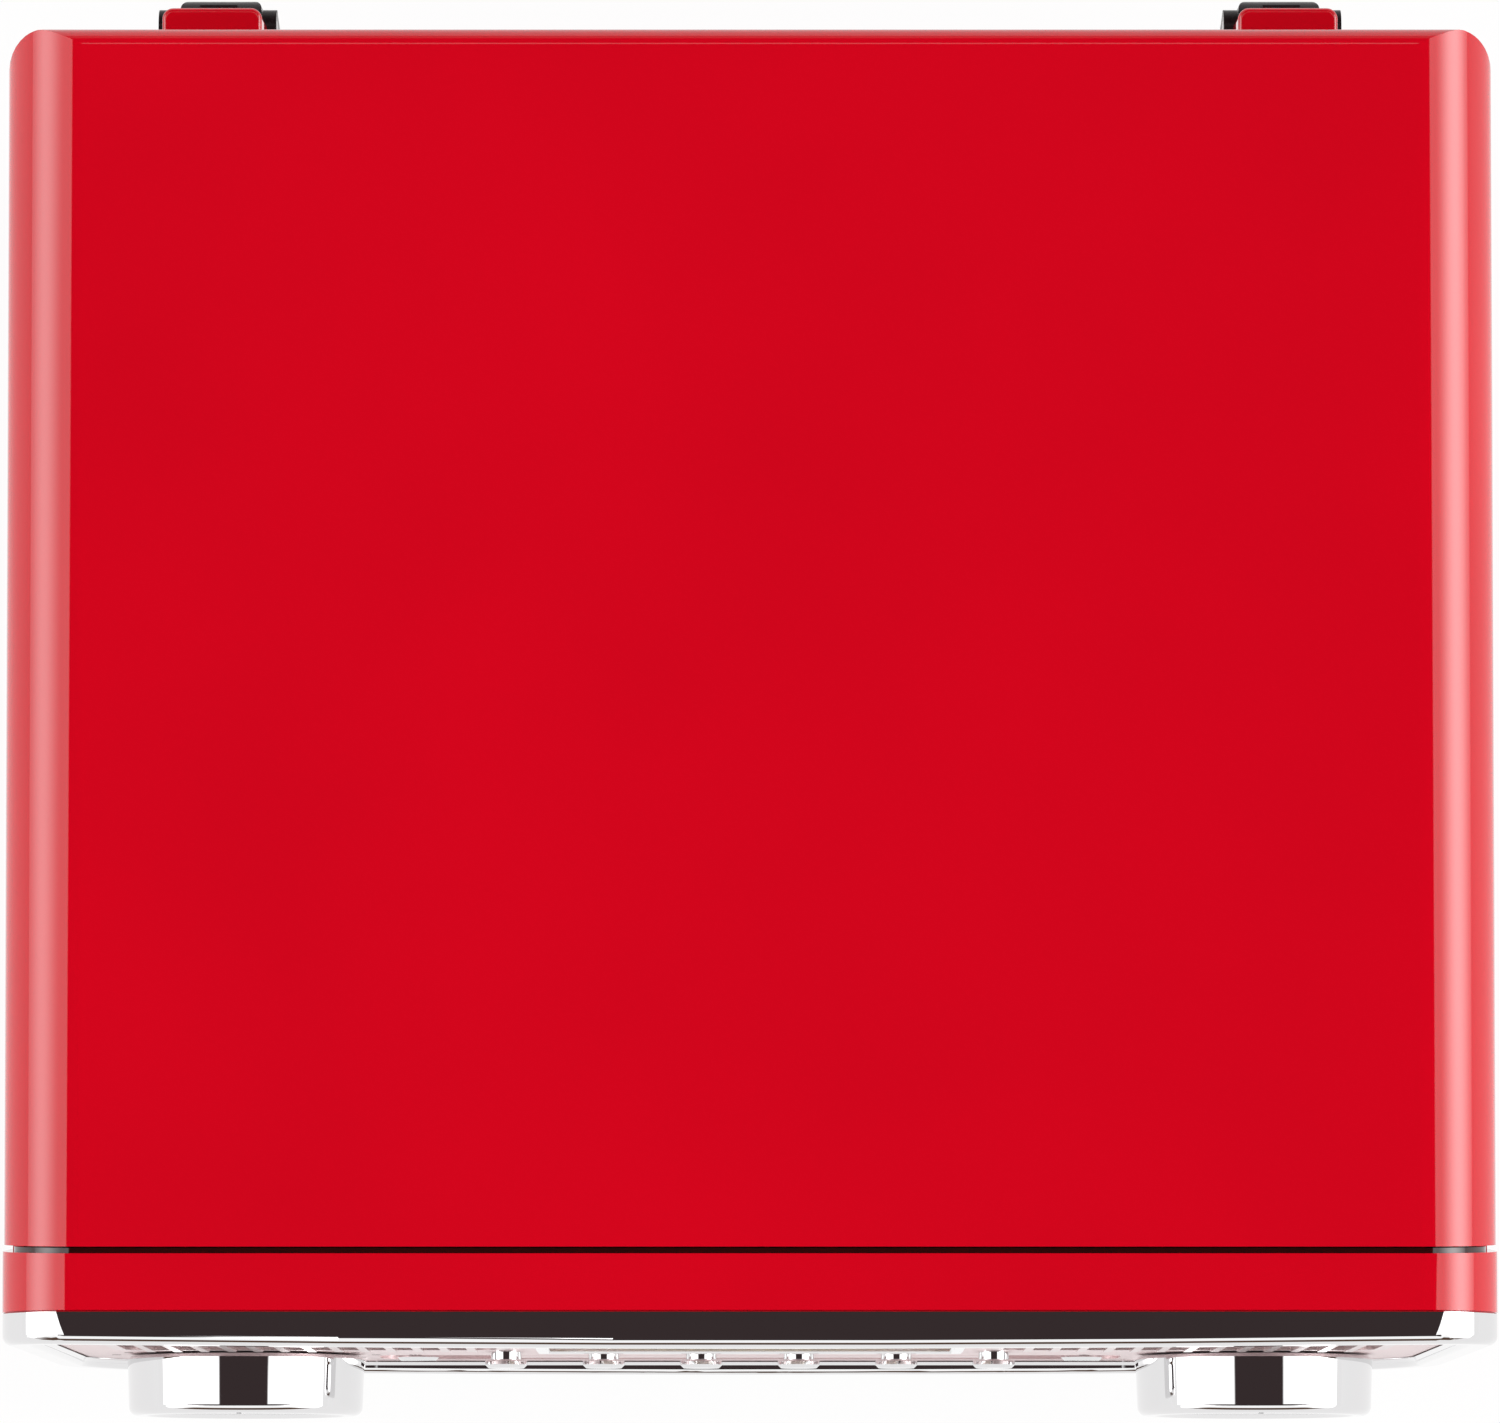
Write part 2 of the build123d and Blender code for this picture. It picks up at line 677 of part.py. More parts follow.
with BuildPart() as dial_plate:
    with BuildSketch(panel_back):
        dial_shape(lens_land)
    extrude(amount=-(dial_chamber + dial_plate_thickness))
    with BuildSketch(panel_back):
        dial_shape(0)
    extrude(amount=-dial_chamber, mode=Mode.SUBTRACT)
    with BuildSketch(panel_back):
        with Locations((0, needle_v)):
            Circle(needle_pin_radius + running)
    extrude(amount=-(dial_chamber + dial_plate_thickness), mode=Mode.SUBTRACT)
write(dial_plate, "dial_plate")

needle_plane = panel_back.offset(-needle_depth)
with BuildPart() as dial_needle:
    with BuildSketch(needle_plane):
        with BuildLine():
            Polyline(
                (-needle_root, needle_v - needle_tail), (needle_root, needle_v - needle_tail),
                (needle_point, needle_v + needle_length), (-needle_point, needle_v + needle_length),
                close=True,
            )
        make_face()
        with Locations((0, needle_v)):
            Circle(needle_hub_radius)
    extrude(amount=-needle_thickness)
    with BuildSketch(needle_plane):
        with Locations((0, needle_v)):
            Circle(needle_pin_radius)
    extrude(amount=-(dial_chamber + dial_plate_thickness - needle_depth + needle_shank))
write(dial_needle, "dial_needle")

# ================================================================== knobs, their controls and the push buttons
knob_gap = 0.6
knob_chamfer = 1.0
bush_proud = 2.2
well_depth = bush_proud + 2 * fit
shaft_length = 16.0
knob_tip_radius = knob_radius - (knob_length - knob_gap) * tan(radians(knob_draft))
dish_radius = knob_tip_radius - knob_rim
knob_outline = [
    (0, -shaft_length), (shaft_radius, -shaft_length), (shaft_radius, well_depth),
    (knob_well, well_depth), (knob_well, knob_gap), (knob_radius - knob_chamfer, knob_gap),
    (knob_radius, knob_gap + knob_chamfer), (knob_tip_radius, knob_length), (dish_radius, knob_length),
    (dish_radius - 2, knob_length - 1.0), (0, knob_length - knob_dish),
]
pot_radius = 12.0
pot_back = shaft_length + 3.0
pot_bore = shaft_radius + 0.1
for name, side in (("volume_knob", -1), ("tuning_knob", 1)):
    write(turned(square_to(panel_front, side * knob_x, knob_v), knob_outline, knob_round), name)

with BuildPart() as control_pots:
    for _, side in sides:
        add(
            turned(
                square_to(panel_front, side * knob_x, knob_v),
                [
                    (pot_bore, bush_proud), (bush_radius, bush_proud), (bush_radius, -panel_thickness),
                    (pot_radius, -panel_thickness), (pot_radius, -pot_back), (0, -pot_back),
                    (0, -shaft_length - glide), (pot_bore, -shaft_length - glide),
                ],
            ).part
        )
write(control_pots, "control_pots")

stem_length = 3.0
bay_stem_length = 0.5
cap_edge = 1.0             # chamfer of a cap's front edge
cap_back_edge = 0.5
neck_tip_radius = button_neck_radius - button_neck_length * tan(radians(button_neck_draft))


def push_button(surface, x, v, stem):
    """Turned button: thin neck through the panel, wider cap in front, seen as one bright piece."""
    neck = button_neck_length
    cap = neck + button_cap_length
    return turned(
        square_to(surface, x, v),
        [
            (0, -panel_thickness - stem), (button_neck_radius, -panel_thickness - stem),
            (button_neck_radius, 0), (neck_tip_radius, neck), (button_cap_radius - cap_back_edge, neck),
            (button_cap_radius, neck + cap_back_edge), (button_cap_radius, cap - cap_edge),
            (button_cap_radius - cap_edge, cap), (0, cap),
        ],
    )


row_names = [
    "source_button", "back_button", "play_button", "stop_button", "next_button", "memory_button",
]
for name, x in zip(row_names, button_xs):
    write(push_button(panel_front, x, button_row_v, stem_length), name)
write(push_button(bay_floor, -bay_button_x, bay_v, bay_stem_length), "power_button")
write(push_button(bay_floor, bay_button_x, bay_v, bay_stem_length), "eject_button")

board_front = panel_front.offset(-board_depth)
board_thickness = 1.6
board_slot_side = 10.0      # clearance round the tray where it passes the board
board_slot_rise = 7.0
switch_side = 6.0
switch_gap = button_travel + glide
with BuildPart() as button_board:
    with BuildSketch(board_front):
        with Locations((0, board_v)):
            Rectangle(board_width, board_height)
        with Locations((0, bay_v)):
            Rectangle(
                tray_width + 2 * board_slot_side, tray_thickness + 2 * board_slot_rise,
                mode=Mode.SUBTRACT,
            )
    extrude(amount=-board_thickness)
    with BuildSketch(board_front):
        with Locations(*[(x, button_row_v) for x in button_xs]):
            Rectangle(switch_side, switch_side)
    extrude(amount=board_depth - panel_thickness - stem_length - switch_gap)
    with BuildSketch(board_front):
        with Locations(*[(side * bay_button_x, bay_v) for _, side in sides]):
            Rectangle(switch_side, switch_side)
    extrude(amount=board_depth - bay_depth - panel_thickness - bay_stem_length - switch_gap)
write(button_board, "button_board")

# ================================================================== CD drawer
door_seat = bay_floor.offset(0.4)   # back of the closed door
tray_front_y = bay_floor.from_local_coords((0, bay_v, 0)).Y - 0.5
tray_mid_z = tray_z + tray_thickness / 2
tray_top = tray_z + tray_thickness
disc_y = tray_front_y + disc_radius + 4
disc_pocket = 2.2
small_disc_radius = 41.0
small_disc_pocket = 3.2
pickup_slot = (50.0, 36.0)  # between the centres of its ends, and its width
pickup_shift = 8.0
door_corner = 3.0
door_edge = 0.8

with BuildPart() as cd_tray:
    with BuildSketch(Plane.XY.offset(tray_z)):
        with Locations((0, tray_front_y + tray_length / 2)):
            Rectangle(tray_width, tray_length)
    extrude(amount=tray_thickness)
    with BuildSketch(Plane.XY.offset(tray_top)):
        with Locations((0, disc_y)):
            Circle(disc_radius)
    extrude(amount=-disc_pocket, mode=Mode.SUBTRACT)
    with BuildSketch(Plane.XY.offset(tray_top)):
        with Locations((0, disc_y)):
            Circle(small_disc_radius)
    extrude(amount=-small_disc_pocket, mode=Mode.SUBTRACT)
    with BuildSketch(Plane.XY.offset(tray_top)):
        with Locations((0, disc_y + pickup_shift)):
            SlotCenterToCenter(*pickup_slot, rotation=90)
    extrude(amount=-tray_thickness, mode=Mode.SUBTRACT)
    split(bisect_by=door_seat, keep=Keep.BOTTOM)
write(cd_tray, "cd_tray")

with BuildPart() as tray_door:
    with BuildSketch(door_seat):
        with Locations((0, bay_v)):
            RectangleRounded(door_width, door_height, door_corner)
    extrude(amount=door_thickness)
    chamfer(tray_door.faces().sort_by(outward)[-1].edges(), door_edge)
write(tray_door, "tray_door")

mechanism_front = frame_back + 5.0
mechanism_length = tray_length - 16.0
mechanism_side = 8.0        # beside the tray
mechanism_drop = 14.0       # below the tray
mechanism_rise = 12.0       # above it
mechanism_bottom = tray_z - mechanism_drop
mechanism_y = mechanism_front + mechanism_length / 2
window_size = (60.0, 90.0)  # pick-up well below the tray and clamp window above it
window_shift = 30.0
pillar_radius = 5.0
pillar_inset = 32.0         # end of the mechanism to its pillars
cover_top = foot_height + cover_thickness
with BuildPart() as cd_mechanism:
    with BuildSketch(Plane.XY.offset(mechanism_bottom)):
        with Locations((0, mechanism_y)):
            Rectangle(tray_width + 2 * mechanism_side, mechanism_length)
    extrude(amount=tray_top + mechanism_rise - mechanism_bottom)
    with BuildSketch(Plane.XZ.offset(-mechanism_front)):
        with Locations((0, tray_mid_z)):
            Rectangle(tray_width + 2 * glide, tray_thickness + 2 * glide)
    extrude(amount=-mechanism_length, mode=Mode.SUBTRACT)
    with BuildSketch(Plane.XY.offset(mechanism_bottom)):
        with Locations((0, disc_y + window_shift)):
            Rectangle(*window_size)
    extrude(amount=tray_top + mechanism_rise - mechanism_bottom, mode=Mode.SUBTRACT)
    with BuildSketch(Plane.XY.offset(cover_top)):
        with Locations((0, mechanism_y)):
            with GridLocations(tray_width - 4, mechanism_length - 2 * pillar_inset, 2, 2):
                Circle(pillar_radius)
    extrude(amount=mechanism_bottom - cover_top)
write(cd_mechanism, "cd_mechanism")

# ================================================================== deck
deck_front = frame_back + 0.3
deck_back = back_y - wall - fit
pulley_x = spindle_x + pulley_reach * cos(radians(pulley_angle))
pulley_y = spindle_y + pulley_reach * sin(radians(pulley_angle))
bearing_radius = 7.0
well_radius = platter_radius + 3.0
well_wall = 3.0
well_height = 2.0
pulley_hole_radius = pulley_radius + 2.0
selector_pin_radius = 2.0
rest_y = arm_y - arm_rest_reach
shelf_top = arm_axis_z - arm_tube_radius - glide
lift_top = shelf_top - lift_rise
lift_x = arm_x + lift_radius * cos(radians(lift_middle))
lift_y = arm_y + lift_radius * sin(radians(lift_middle))
cue_x = inner_half - 18.0
cue_y = 96.0
cue_z = deck_top + 9.0
cue_width = 5.8
cue_pin_radius = 1.5
cue_ear_width = 2.6
cue_ear_length = 9.0
cue_ear_x = cue_width / 2 + glide + cue_ear_width / 2
cue_ear_rise = 4.0         # pin to the top of the ears
selector_x = inner_half - 21.0
selector_y = -62.0
stop_x = inner_half - 21.0
stop_y = -108.0
stop_travel = 4.0
stop_length = 11.0
stop_slot_width = 7.0
stop_slot_length = stop_length + 2 * glide + stop_travel
stop_border = 2.5          # raised surround of the slot
stop_surround_height = 1.2
rest_post_radius = 5.0
rest_x = arm_x + 2.5
rest_shelf = (15.0, 9.0)
rest_shelf_thickness = 3.0
rest_guard = (3.4, 8.0)    # upright beside the parked arm
rest_guard_height = 8.0
rest_guard_x = arm_x + arm_tube_radius + glide + rest_guard[0] / 2 + 0.3
corner_round = 2.0

with BuildPart() as deck:
    with BuildSketch(Plane.XY.offset(deck_top - deck_thickness)) as deck_plan:
        with Locations((0, (deck_front + deck_back) / 2)):
            Rectangle(2 * (inner_half - fit), deck_back - deck_front)
        fillet(deck_plan.vertices().group_by(Axis.Y)[-1], plan_radius - wall)
        with Locations((spindle_x, spindle_y)):
            Circle(bearing_radius + running, mode=Mode.SUBTRACT)
        with Locations((pulley_x, pulley_y)):
            Circle(pulley_hole_radius, mode=Mode.SUBTRACT)
        with Locations((stop_x, stop_y)):
            Rectangle(stop_slot_width, stop_slot_length, mode=Mode.SUBTRACT)
        with Locations((selector_x, selector_y)):
            Circle(selector_pin_radius + 2 * running, mode=Mode.SUBTRACT)
        with Locations((lift_x, lift_y)):
            Circle(lift_pin_radius + running, mode=Mode.SUBTRACT)
    extrude(amount=deck_thickness)
    # raised ring round the platter
    with BuildSketch(Plane.XY.offset(deck_top)):
        with Locations((spindle_x, spindle_y)):
            Circle(well_radius + well_wall)
            Circle(well_radius, mode=Mode.SUBTRACT)
    extrude(amount=well_height)
    # surround of the stop switch
    with BuildSketch(Plane.XY.offset(deck_top)):
        with Locations((stop_x, stop_y)):
            RectangleRounded(
                stop_slot_width + 2 * stop_border, stop_slot_length + 2 * stop_border, corner_round
            )
            Rectangle(stop_slot_width, stop_slot_length, mode=Mode.SUBTRACT)
    extrude(amount=stop_surround_height)
    # post with a shelf that carries the parked arm
    with BuildSketch(Plane.XY.offset(deck_top)):
        with Locations((rest_x, rest_y)):
            Circle(rest_post_radius)
    extrude(amount=shelf_top - rest_shelf_thickness - deck_top)
    with BuildSketch(Plane.XY.offset(shelf_top)):
        with Locations((rest_x, rest_y)):
            RectangleRounded(*rest_shelf, corner_round)
    extrude(amount=-rest_shelf_thickness)
    with BuildSketch(Plane.XY.offset(shelf_top)):
        with Locations((rest_guard_x, rest_y)):
            Rectangle(*rest_guard)
    extrude(amount=rest_guard_height)
    # two ears for the cueing lever
    with BuildSketch(Plane.XY.offset(deck_top)):
        with Locations((cue_x - cue_ear_x, cue_y), (cue_x + cue_ear_x, cue_y)):
            Rectangle(cue_ear_width, cue_ear_length)
    extrude(amount=cue_z + cue_ear_rise - deck_top)
    with BuildSketch(Plane.YZ.offset(cue_x)):
        with Locations((cue_y, cue_z)):
            Circle(cue_pin_radius + running)
    extrude(amount=cue_ear_x + cue_ear_width, both=True, mode=Mode.SUBTRACT)
write(deck, "deck")

# ================================================================== platter drive
ring_inner = belt_ring_radius - platter_skirt
bush_top = deck_top + 1.5
hub_bottom = bush_top + glide
plate_bottom = platter_top - platter_plate
skirt_bottom = deck_top + 3.0
bearing_bottom = deck_top - 20.0
hub_radius = 10.0
bearing_bore = spindle_shaft_radius + running
platter_edge = 1.5
rib_thickness = 2.0
rib_root = 1.0             # how far a rib and the plate run into each other
rib_length = ring_inner - hub_radius + rib_root
mat_radius = platter_radius - 3.0
mat_bore = spindle_shaft_radius + fit
spindle_taper = 2.0        # how much slimmer the pin is at its tip
write(
    turned(
        upright(spindle_x, spindle_y),
        [
            (bearing_bore, bearing_bottom), (bearing_radius, bearing_bottom), (bearing_radius, deck_top),
            (hub_radius, deck_top), (hub_radius, bush_top), (bearing_bore, bush_top),
        ],
    ),
    "bearing_bush",
)
with BuildPart() as platter:
    add(
        turned(
            upright(spindle_x, spindle_y),
            [
                (spindle_shaft_radius, hub_bottom), (hub_radius, hub_bottom), (hub_radius, plate_bottom),
                (ring_inner, plate_bottom), (ring_inner, skirt_bottom),
                (belt_ring_radius, skirt_bottom), (belt_ring_radius, plate_bottom),
                (platter_radius - platter_skirt, plate_bottom),
                (platter_radius - platter_skirt, skirt_bottom), (platter_radius, skirt_bottom),
                (platter_radius, platter_top - platter_edge), (platter_radius - platter_edge, platter_top),
                (spindle_shaft_radius, platter_top),
            ],
        ).part
    )
    # stiffening ribs from the hub to the belt ring
    with BuildSketch(Plane.XY.offset(plate_bottom + rib_root)):
        with Locations((spindle_x, spindle_y)):
            with PolarLocations((hub_radius + ring_inner) / 2, platter_rib_count):
                Rectangle(rib_length, rib_thickness)
    extrude(amount=-(plate_bottom - skirt_bottom - rib_root))
write(platter, "platter")
write(
    turned(
        upright(spindle_x, spindle_y),
        [
            (0, bearing_bottom + 2), (spindle_shaft_radius, bearing_bottom + 2),
            (spindle_shaft_radius, mat_top), (spindle_radius, mat_top),
            (spindle_radius, spindle_top - spindle_tip), (spindle_radius - spindle_taper, spindle_top),
            (0, spindle_top),
        ],
    ),
    "spindle",
)
write(
    turned(
        upright(spindle_x, spindle_y),
        [
            (mat_bore, platter_top), (mat_radius, platter_top), (mat_radius, mat_top),
            (mat_bore, mat_top),
        ],
    ),
    "slip_mat",
)

motor_radius = 17.0
motor_flange = 5.0         # width of the flange under the deck
motor_flange_thickness = 2.0
motor_seat = deck_top - deck_thickness
motor_depth = 28.0         # top of the deck to the underside of the motor
motor_bottom = deck_top - motor_depth
motor_shaft_radius = 1.0
motor_bore = motor_shaft_radius + running
pulley_bottom = deck_top + 1.5
pulley_collar = 1.0        # rim that keeps the belt up
pulley_height = 7.0
with BuildPart() as motor:
    add(
        turned(
            upright(pulley_x, pulley_y),
            [
                (motor_bore, motor_seat), (motor_radius + motor_flange, motor_seat),
                (motor_radius + motor_flange, motor_seat - motor_flange_thickness),
                (motor_radius, motor_seat - motor_flange_thickness), (motor_radius, motor_bottom),
                (motor_bore, motor_bottom),
            ],
        ).part
    )
write(motor, "motor")
write(
    turned(
        upright(pulley_x, pulley_y),
        [
            (0, motor_bottom + 2), (motor_shaft_radius, motor_bottom + 2),
            (motor_shaft_radius, pulley_bottom), (pulley_radius + pulley_collar, pulley_bottom),
            (pulley_radius + pulley_collar, pulley_bottom + pulley_collar),
            (pulley_radius, pulley_bottom + pulley_collar),
            (pulley_radius, pulley_bottom + pulley_height), (0, pulley_bottom + pulley_height),
        ],
    ),
    "motor_pulley",
)


def belt_loop(grow):
    """Outline of the belt round platter ring and pulley, standing off both by grow."""
    with BuildSketch(Plane.XY.offset(skirt_bottom + 0.5)) as loop:
        with BuildLine():
            CenterArc((spindle_x, spindle_y), belt_ring_radius + grow, 0, 360)
            CenterArc((pulley_x, pulley_y), pulley_radius + grow, 0, 360)
        make_hull()
    return loop


belt_gap = 0.1             # belt off its ring and pulley
with BuildPart() as drive_belt:
    add(belt_loop(belt_gap + belt_thickness).sketch)
    extrude(amount=belt_height)
    add(belt_loop(belt_gap).sketch)
    extrude(amount=belt_height, mode=Mode.SUBTRACT)
write(drive_belt, "drive_belt")

# ================================================================== tonearm
pedestal_top = deck_top + pedestal_height
turret_floor = pedestal_top + glide
turret_stub_radius = 5.0
pedestal_bore = turret_stub_radius + 2 * running
pedestal_edge = 3.0
turret_plate = 3.5
turret_edge = 1.0
cheek_inner = 8.5
cheek_thickness = 3.5
cheek_length = 16.0
cheek_rise = 7.0           # pins to the top of the cheeks
cheek_chamfer = 4.0
arm_pin_radius = 1.5
write(
    turned(
        upright(arm_x, arm_y),
        [
            (pedestal_bore, deck_top), (pedestal_radius, deck_top),
            (pedestal_radius, pedestal_top - pedestal_edge),
            (pedestal_radius - pedestal_edge, pedestal_top), (pedestal_bore, pedestal_top),
        ],
    ),
    "tonearm_pedestal",
)
turret_top = turret_floor + turret_plate
cheek_x = cheek_inner + cheek_thickness / 2
with BuildPart() as tonearm_turret:
    add(
        turned(
            upright(arm_x, arm_y),
            [
                (0, deck_top + 1), (turret_stub_radius, deck_top + 1), (turret_stub_radius, turret_floor),
                (turret_radius, turret_floor), (turret_radius, turret_top - turret_edge),
                (turret_radius - turret_edge, turret_top), (0, turret_top),
            ],
        ).part
    )
    with BuildSketch(Plane.XY.offset(turret_top)):
        with Locations((arm_x - cheek_x, arm_y), (arm_x + cheek_x, arm_y)):
            Rectangle(cheek_thickness, cheek_length)
    extrude(amount=arm_axis_z + cheek_rise - turret_top)
    tops = tonearm_turret.faces().filter_by(Axis.Z).sort_by(Axis.Z)[-2:]
    chamfer([e for e in tops.edges() if e.length < cheek_thickness + 0.1], cheek_chamfer)
    with BuildSketch(Plane.YZ.offset(arm_x)):
        with Locations((arm_y, arm_axis_z)):
            Circle(arm_pin_radius + running)
    extrude(amount=turret_radius, both=True, mode=Mode.SUBTRACT)
write(tonearm_turret, "tonearm_turret")

arm_block = (2 * (cheek_inner - glide), 18.0)
arm_block_height = 12.0
arm_block_corner = 3.0
tube_end = arm_length - 28.0
counterweight_radius = 12.0
counterweight_edge = 1.2
counterweight_start = 18.5
counterweight_length = 18.0
tube_tail = counterweight_start + counterweight_length + 3.0
with BuildPart() as tonearm_tube:
    with BuildSketch(Plane.XY.offset(arm_axis_z)):
        with Locations((arm_x, arm_y)):
            RectangleRounded(*arm_block, arm_block_corner)
    extrude(amount=arm_block_height / 2, both=True)
    with BuildSketch(Plane.YZ.offset(arm_x)):
        with Locations((arm_y, arm_axis_z)):
            Circle(arm_pin_radius)
    extrude(amount=cheek_inner + cheek_thickness, both=True)
    with BuildSketch(Plane.XZ.offset(-arm_y - tube_tail)):
        with Locations((arm_x, arm_axis_z)):
            Circle(arm_tube_radius)
    extrude(amount=tube_tail + tube_end)
write(tonearm_tube, "tonearm_tube")

with BuildPart() as counterweight:
    with BuildSketch(Plane.XZ.offset(-arm_y - counterweight_start)):
        with Locations((arm_x, arm_axis_z)):
            Circle(counterweight_radius)
    extrude(amount=-counterweight_length)
    chamfer(counterweight.edges(), counterweight_edge)
    with BuildSketch(Plane.XZ.offset(-arm_y - counterweight_start)):
        with Locations((arm_x, arm_axis_z)):
            Circle(arm_tube_radius)
    extrude(amount=-counterweight_length, mode=Mode.SUBTRACT)
write(counterweight, "counterweight")

shell_z = arm_axis_z - 2.0
shell_start = arm_y - tube_end + 8.0
shell_thickness = 3.0
socket_wall = 2.0
socket_length = 11.0
shell_plate = 40.0                  # plate in front of the socket
shell_root = shell_start - socket_length + 2
shell_shoulder = shell_root - 7.0
shell_tip = shell_start - socket_length - shell_plate
shell_corner = shell_tip + 4.0
shell_half = (5.0, 9.0, 8.0)        # half widths at root and tip, shoulder, and corner
finger_lift = (12.0, 3.5)
finger_lift_reach = 13.0
finger_lift_back = 36.0
finger_lift_x = arm_x + finger_lift_reach
finger_lift_y = shell_start - finger_lift_back
shell_side = [
    (shell_half[0], shell_root), (shell_half[1], shell_shoulder), (shell_half[2], shell_corner),
    (shell_half[0], shell_tip),
]
shell_outline = [(arm_x - x, y) for x, y in shell_side] + [(arm_x + x, y) for x, y in shell_side[::-1]]
with BuildPart() as headshell:
    with BuildSketch(Plane.XZ.offset(-shell_start)):
        with Locations((arm_x, arm_axis_z)):
            Circle(arm_tube_radius + socket_wall)
    extrude(amount=socket_length)
    with BuildSketch(Plane.XY.offset(shell_z)):
        with BuildLine():
            Polyline(*shell_outline, close=True)
        make_face()
        with Locations((finger_lift_x, finger_lift_y)):
            RectangleRounded(*finger_lift, finger_lift[1] / 2 - 0.25)
    extrude(amount=shell_thickness)
    with BuildSketch(Plane.XZ.offset(-shell_start)):
        with Locations((arm_x, arm_axis_z)):
            Circle(arm_tube_radius)
    extrude(amount=tube_end - (arm_y - shell_start), mode=Mode.SUBTRACT)
write(headshell, "headshell")

stylus_y = arm_y - arm_length
stylus_z = mat_top + 1.6
cartridge_plan = (13.0, 22.0)
cartridge_y = stylus_y + 7.0
cartridge_height = 4.0
cartridge_foot = shell_z - cartridge_height
stylus_width = 6.0
with BuildPart() as cartridge:
    with BuildSketch(Plane.XY.offset(shell_z)):
        with Locations((arm_x, cartridge_y)):
            Rectangle(*cartridge_plan)
    extrude(amount=-cartridge_height)
    with BuildSketch(Plane.YZ.offset(arm_x)):
        with BuildLine():
            Polyline(
                (stylus_y + 8, cartridge_foot), (stylus_y - 4, cartridge_foot),
                (stylus_y - 1, stylus_z + 1), (stylus_y, stylus_z), (stylus_y + 1, stylus_z + 1),
                close=True,
            )
        make_face()
    extrude(amount=stylus_width / 2, both=True)
write(cartridge, "cartridge")

# ================================================================== cueing lift under the arm
lift_pin_bottom = deck_top - deck_thickness - 6.0
with BuildPart() as cue_lift:
    with BuildSketch(Plane.XY.offset(lift_top - lift_bar)):
        with BuildLine(mode=Mode.PRIVATE) as track:
            CenterArc((arm_x, arm_y), lift_radius, lift_middle - lift_sweep / 2, lift_sweep)
        SlotArc(track.edge(), 2 * lift_pin_radius)
    extrude(amount=lift_bar)
    with BuildSketch(Plane.XY.offset(lift_top - lift_bar)):
        with Locations((lift_x, lift_y)):
            Circle(lift_pin_radius)
    extrude(amount=lift_pin_bottom - lift_top + lift_bar)
write(cue_lift, "cue_lift")

# ================================================================== small deck controls
cue_length = 26.0
cue_hub_radius = 3.5
cue_grip_radius = 3.0
with BuildPart() as cue_lever:
    with BuildSketch(Plane.YZ.offset(cue_x)):
        with Locations((cue_y, cue_z)):
            Circle(cue_pin_radius)
    extrude(amount=cue_ear_x + cue_ear_width / 2, both=True)
    with BuildSketch(Plane.YZ.offset(cue_x)):
        with Locations((cue_y, cue_z)):
            Circle(cue_hub_radius)
        with Locations((cue_y - cue_length / 2, cue_z)):
            Rectangle(cue_length, cue_grip_radius)
        with Locations((cue_y - cue_length, cue_z)):
            Circle(cue_grip_radius)
    extrude(amount=cue_width / 2, both=True)
write(cue_lever, "cue_lever")

selector_seat = Plane.XY.offset(deck_top + glide)
selector_disc_radius = 9.0
selector_disc_height = 2.5
selector_grip = (4.0, 16.0)
selector_grip_shift = 5.0
selector_grip_height = 5.0
selector_pin_length = 6.0
with BuildPart() as speed_lever:
    with BuildSketch(selector_seat):
        with Locations((selector_x, selector_y)):
            Circle(selector_disc_radius)
    extrude(amount=selector_disc_height)
    with BuildSketch(selector_seat.offset(selector_disc_height)):
        with Locations((selector_x, selector_y - selector_grip_shift)):
            RectangleRounded(*selector_grip, 1.5)
    extrude(amount=selector_grip_height)
    with BuildSketch(selector_seat):
        with Locations((selector_x, selector_y)):
            Circle(selector_pin_radius)
    extrude(amount=-selector_pin_length)
write(speed_lever, "speed_lever")

stop_bottom = deck_top - 6.0
stop_height = 9.0
with BuildPart() as stop_switch:
    with BuildSketch(Plane.XY.offset(stop_bottom)):
        with Locations((stop_x, stop_y - stop_travel / 2)):
            Rectangle(stop_slot_width - 2 * glide, stop_length)
    extrude(amount=stop_height)
write(stop_switch, "stop_switch")

# ================================================================== lid hinges
ear_reach = barrel_length / 2 + fit     # middle of the barrel to the ears
pin_length = 2 * ear_reach + ear_inner + ear_outer
pin_shift = (ear_outer - ear_inner) / 2
tab_width = 10.3                        # stop on the barrel that rests against the open lid
tab_thickness = 2.0
tab_height = 10.0
tab_shift = 3.4
with BuildPart() as hinge_pins:
    for _, side in sides:
        with BuildSketch(Plane.YZ.offset(side * (hinge_x + pin_shift))):
            with Locations((hinge_y, hinge_z)):
                Circle(hinge_pin_radius)
        extrude(amount=pin_length / 2, both=True)
write(hinge_pins, "hinge_pins")

